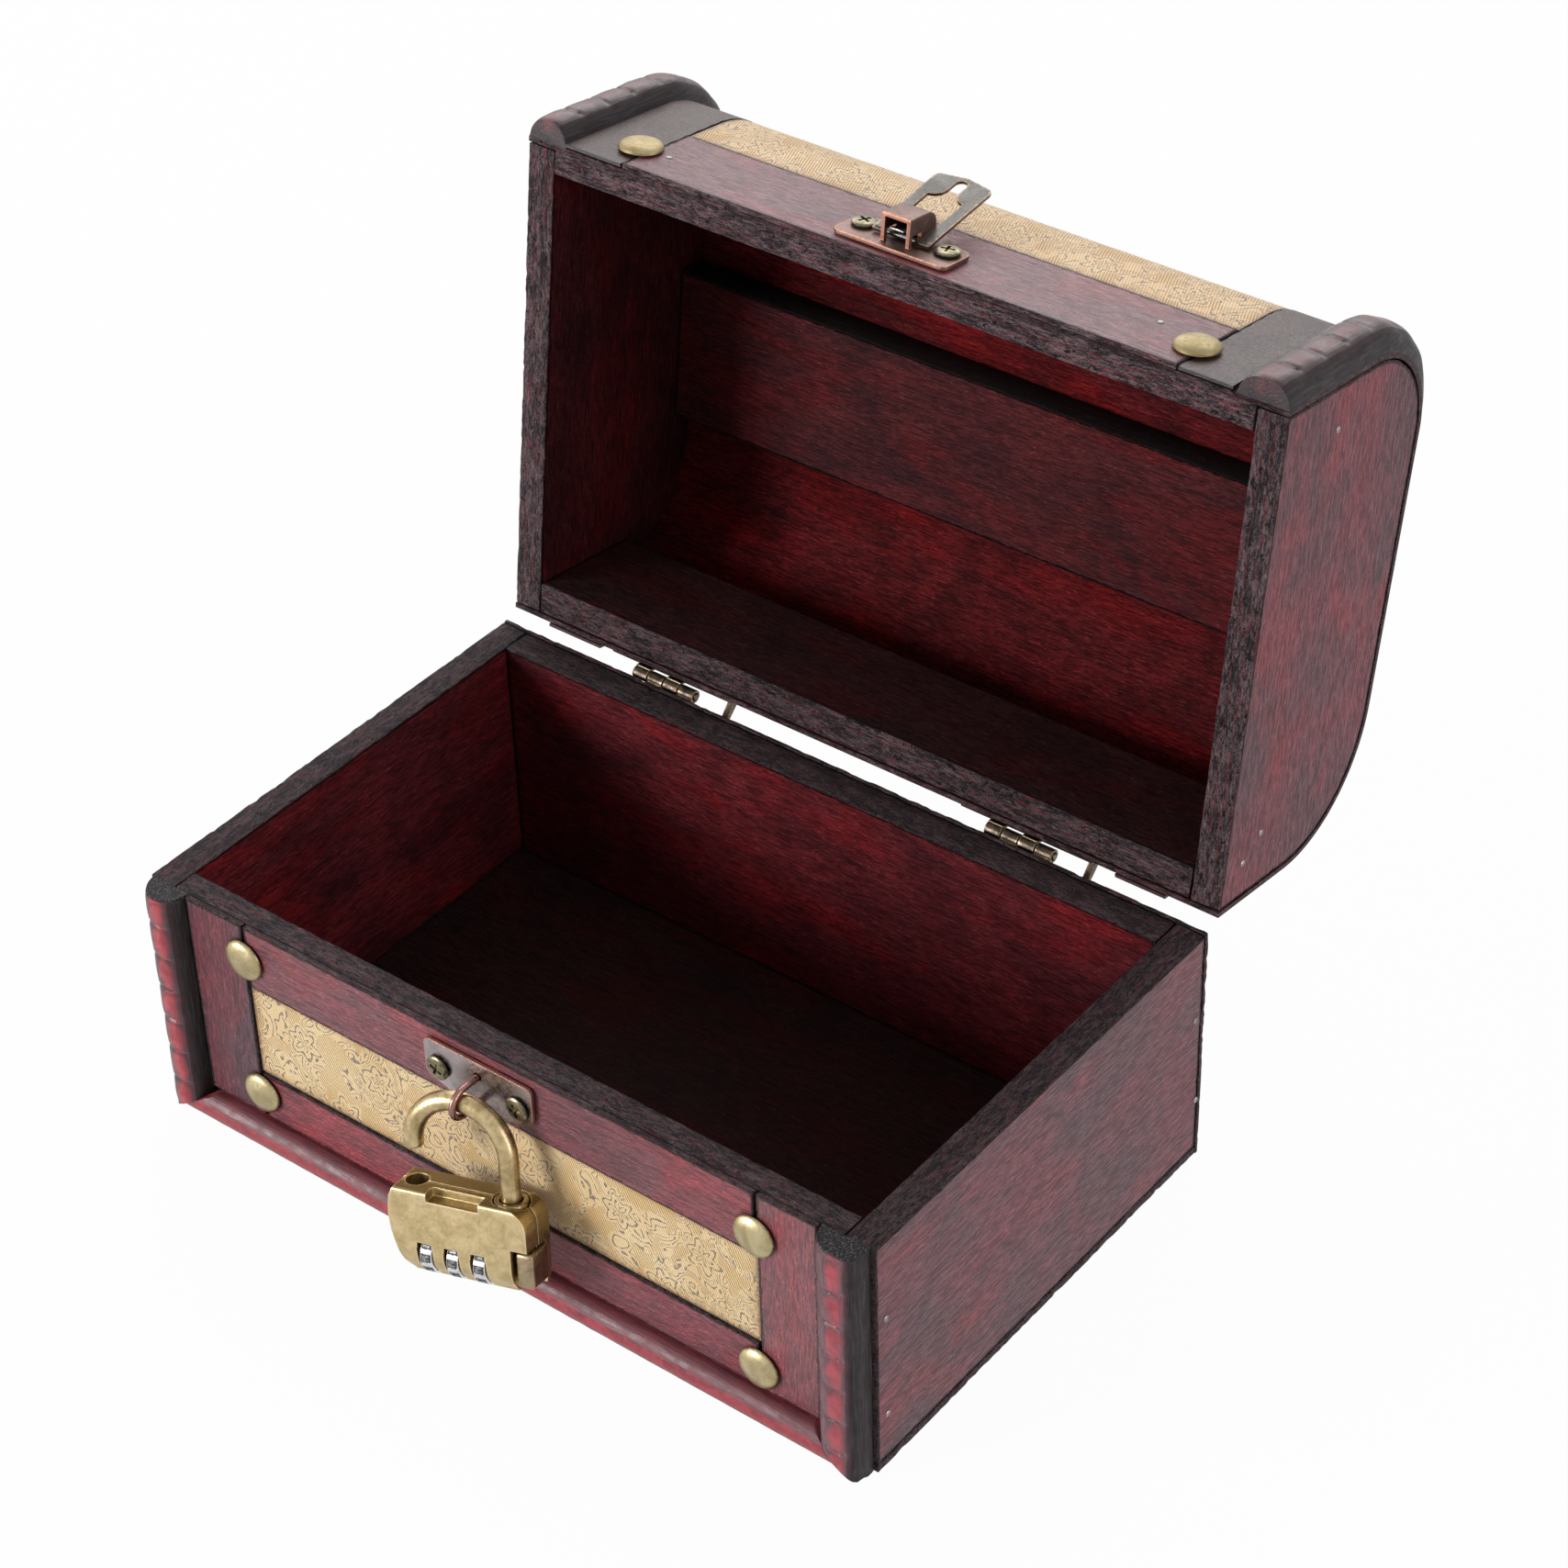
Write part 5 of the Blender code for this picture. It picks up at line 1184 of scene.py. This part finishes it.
def tube(path, radius, sides, side_axis, end_round=0.0):
    bm = bmesh.new()
    side_axis = Vector(side_axis)
    rings = []
    last = len(path) - 1
    turns = [2 * math.pi * k / sides for k in range(sides)]
    for i, point in enumerate(path):
        way = (path[min(i + 1, last)] - path[max(i - 1, 0)]).normalized()
        other = side_axis.cross(way).normalized()
        rings.append([bm.verts.new(point + (side_axis * math.cos(a) + other * math.sin(a)) * radius)
                      for a in turns])
    for cap in skin(bm, rings, rings[0][::-1], rings[-1]):
        if end_round:
            rounded(bm, cap.edges, end_round, 4)
    return bm


shackle_path = [(LEG_HALF, LONG_LEG_FOOT + i * 1.1) for i in range(11)]
shackle_path += arc(0, -LEG_HALF, LEG_HALF, 0, 180, 40) + [(-LEG_HALF, SHORT_LEG_FOOT)]
shackle_mesh = tube([Vector((x, 0, z)) for x, z in shackle_path], SHACKLE_WIRE, 28, (0, 1, 0), 0.45)
piece("shackle_bow", shackle_mesh, shackle_brass, "shackle", LOCK, ["padlock_shackle"])

staple_low, staple_high = corners("hasp_staple")
bend, wire = 2.8, 0.6
staple_path = [(staple_high[1], STAPLE_Z + bend)]
staple_path += arc(staple_low[1] + wire + bend, STAPLE_Z, bend, 90, 270, 28)
staple_path += [(staple_high[1], STAPLE_Z - bend)]
staple_mesh = tube([Vector((HASP_X, y, z)) for y, z in staple_path], wire, 18, (1, 0, 0))
piece("staple_wire", staple_mesh, staple_metal, "base", BASE, ["hasp_staple"])

# Number dials, with worn figures on them
ink = Paint("dial_figures")
ink_grain = ink.stretched(0.3, 3.0, 0.6)
ink_colour = ink.mix(ink.step(ink_grain, 0.4, 0.7), (0.012, 0.011, 0.011), (0.05, 0.05, 0.05))
ink.finish(ink_colour, 0.5, ink.bump(ink_grain, 0.03, 0.4))

# Strokes of the figures 0 to 9, through the points 1 to 9 of three rows of three
FIGURES = ("17931", "428 79", "12365479", "1365 697", "146 39", "314697", "317964", "138",
           "13971 46", "641397")


def number_dial(index, x):
    """A ring with ten windows between low ribs, and a worn figure in each window."""
    bm, layer = new_mesh()
    radius, half, sides = 4.15, 1.25, 120
    side = [(0.9, half), (radius - 0.35, half), (radius - 0.05, half - 0.12), (radius, half - 0.25),
            (radius, half - 0.30)]
    turned(bm, [(r, -h) for r, h in side] + side[::-1], facing((1, 0, 0), (x, 0, DIAL_Z)), sides)
    step = 2 * math.pi / 10
    for v in bm.verts:
        v[layer] = PLAIN
        across = Vector((v.co.y, v.co.z - DIAL_Z))
        if across.length > 3.9:
            turn = math.atan2(across.y, across.x) + math.pi
            off = abs((turn / step + 0.5) % 1.0 - 0.5)
            beside = abs(v.co.x - x) - half + 0.28
            if off < 0.33 and beside < 0:
                across *= 1 - 0.14 / radius
            near = abs(off - 0.36) * step * radius
            dark = near < 0.14 or (abs(beside) < 0.06 and off < 0.4)
            v[layer] = (0.05 if dark else 1.0, 0.5, 0.0)
            v.co.y, v.co.z = across.x, across.y + DIAL_Z
    node = "number_dial_" + str(index)
    piece(node + "_worn", bm, dial_metal, "dial_" + str(index), LOCK, [node])
    bm = bmesh.new()
    depth = radius - 0.11
    for figure, strokes in enumerate(FIGURES):
        for stroke in strokes.split():
            dots = [int(k) - 1 for k in stroke]
            dots = [Vector(((k % 3 - 1) * 0.58, (1 - k // 3) * 0.76)) for k in dots]
            for start, end in zip(dots, dots[1:]):
                add_stroke(bm, start, end, x, math.pi + (figure - 3) * step, depth)
    piece(node + "_figures", bm, ink.material, "dial_" + str(index), LOCK)


def add_stroke(bm, start, end, x, centre, depth, pen=0.13):
    """A flat bar from start to end, laid round the dial. centre is the figure's angle."""
    way = (end - start).normalized()
    wide = Vector((-way.y, way.x)) * pen
    rings = []
    for k in range(5):
        at = (start - way * pen).lerp(end + way * pen, k / 4)
        ring = []
        for sign, level in ((1, -0.1), (1, 0.05), (-1, 0.05), (-1, -0.1)):
            point = at + wide * sign
            turn = centre + point.y / depth
            reach = depth + level
            ring.append(bm.verts.new((x + point.x, reach * math.cos(turn), DIAL_Z + reach * math.sin(turn))))
        rings.append(ring)
    skin(bm, rings, rings[0][::-1], rings[-1])


for index, x in enumerate(DIAL_XS, 1):
    number_dial(index, x)


def brads(name, body, place, normal, spots):
    """Small sunken pin heads."""
    bm = bmesh.new()
    for spot in spots:
        turned(bm, [(0.6, -0.25), (0.62, 0.06), (0.5, 0.16), (0.15, 0.14)], facing(normal, spot), 14, 0.14)
    piece(name, bm, brad_steel, body, place)


brads("base_side_brads", "base", BASE, (1, 0, 0),
      [(HALF, y, z) for y, z in ((-44.4, 34.0), (-44.2, 12.0), (46.3, 33.2), (47.7, 13.6))])
brads("base_left_brads", "base", BASE, (-1, 0, 0),
      [(-HALF, y, z) for y, z in ((-44.0, 36.0), (-44.6, 13.0), (46.0, 35.0), (46.6, 14.0))])
for side, sign in (("left", -1), ("right", 1)):
    brads("lid_side_brads_" + side, "lid", LID, (sign, 0, 0),
          [(sign * HALF, y, z) for y, z in ((41.0, 57.5), (37.0, 62.5), (-38.0, 69.0))])
brads("lid_strip_brads", "lid", LID, (0, -1, 0), [(-54.1, LID_FACE, RIM + 8), (47.5, LID_FACE, RIM + 12)])

# Camera of the photograph, from the fit: its angles, and its place from the point that it turns about
AZIMUTH, ELEVATION, CAMERA_ROLL = 38.786, 37.614, -1.776
TURN_POINT, FROM_TURN_POINT = Vector((0, 0, 40)), Vector((20.895, 29.586, 687.061))
SENSOR, FOCAL_PIXELS, PHOTO_PIXELS = 36.0, 4246.01, 1708
camera_data = bpy.data.cameras.new("camera")
camera_data.sensor_width = SENSOR
camera_data.lens = FOCAL_PIXELS * SENSOR / PHOTO_PIXELS
camera = linked("camera", camera_data)
level_view = rotation(AZIMUTH, "Z") @ rotation(90 - ELEVATION, "X")
spot = (TURN_POINT + level_view @ FROM_TURN_POINT) * MM
rolled_view = level_view @ rotation(CAMERA_ROLL, "Z")
camera.matrix_world = Matrix.LocRotScale(spot, rolled_view.to_quaternion(), None)
scene.camera = camera

# Floor, world and lamps
white = Paint("floor_white")
speckle = white.stretched(40, 2.0, 0.5)
white.finish(white.mix(speckle, (0.80, 0.80, 0.80), (0.82, 0.82, 0.82)), 0.9)
glow = white.out("ShaderNodeEmission", 0, {"Color": (1, 1, 1), "Strength": 1.0})
lit = Value(white, white.shader.outputs[0])
mixed = white.out("ShaderNodeMixShader", 0, {0: white.seen_directly() * 0.97, 1: lit, 2: glow})
white.put(white.tree.nodes["Material Output"].inputs[0], mixed)
floor_mesh = bpy.data.meshes.new("floor")
floor_mesh.from_pydata([(-8, -8, 0), (8, -8, 0), (8, 8, 0), (-8, 8, 0)], [], [(0, 1, 2, 3)])
floor_mesh.materials.append(white.material)
floor = linked("floor", floor_mesh)
floor.location.z = -0.0003

world = bpy.data.worlds.new("studio")
scene.world = world
world.use_nodes = True
sky = Nodes(world.node_tree)
background = sky.tree.nodes["Background"].inputs
sky.put(background["Strength"], sky.step(sky.seen_directly(), 0.0, 1.0, 0.20, 1.0, smooth=False))
sky.put(background["Color"], (1, 1, 1))


def lamp(name, place, target, size, watts):
    data = bpy.data.lights.new(name, "AREA")
    data.shape = "RECTANGLE"
    data.size, data.size_y = size
    data.energy = watts
    obj = linked(name, data)
    obj.location = place
    obj.rotation_mode = "QUATERNION"
    obj.rotation_quaternion = (Vector(target) - Vector(place)).to_track_quat("-Z", "Y")


lamp("key_front_left", (-1.10, -1.55, 0.50), (0, 0, 0.07), (0.8, 0.7), 38.0)
lamp("fill_right", (1.5, 0.10, 0.42), (0, 0, 0.07), (0.9, 0.7), 12.0)
lamp("haze_back_left", (-0.95, 1.45, 1.30), (0, 0, 0.1), (2.2, 1.5), 30.0)

scene.view_settings.view_transform = "Standard"
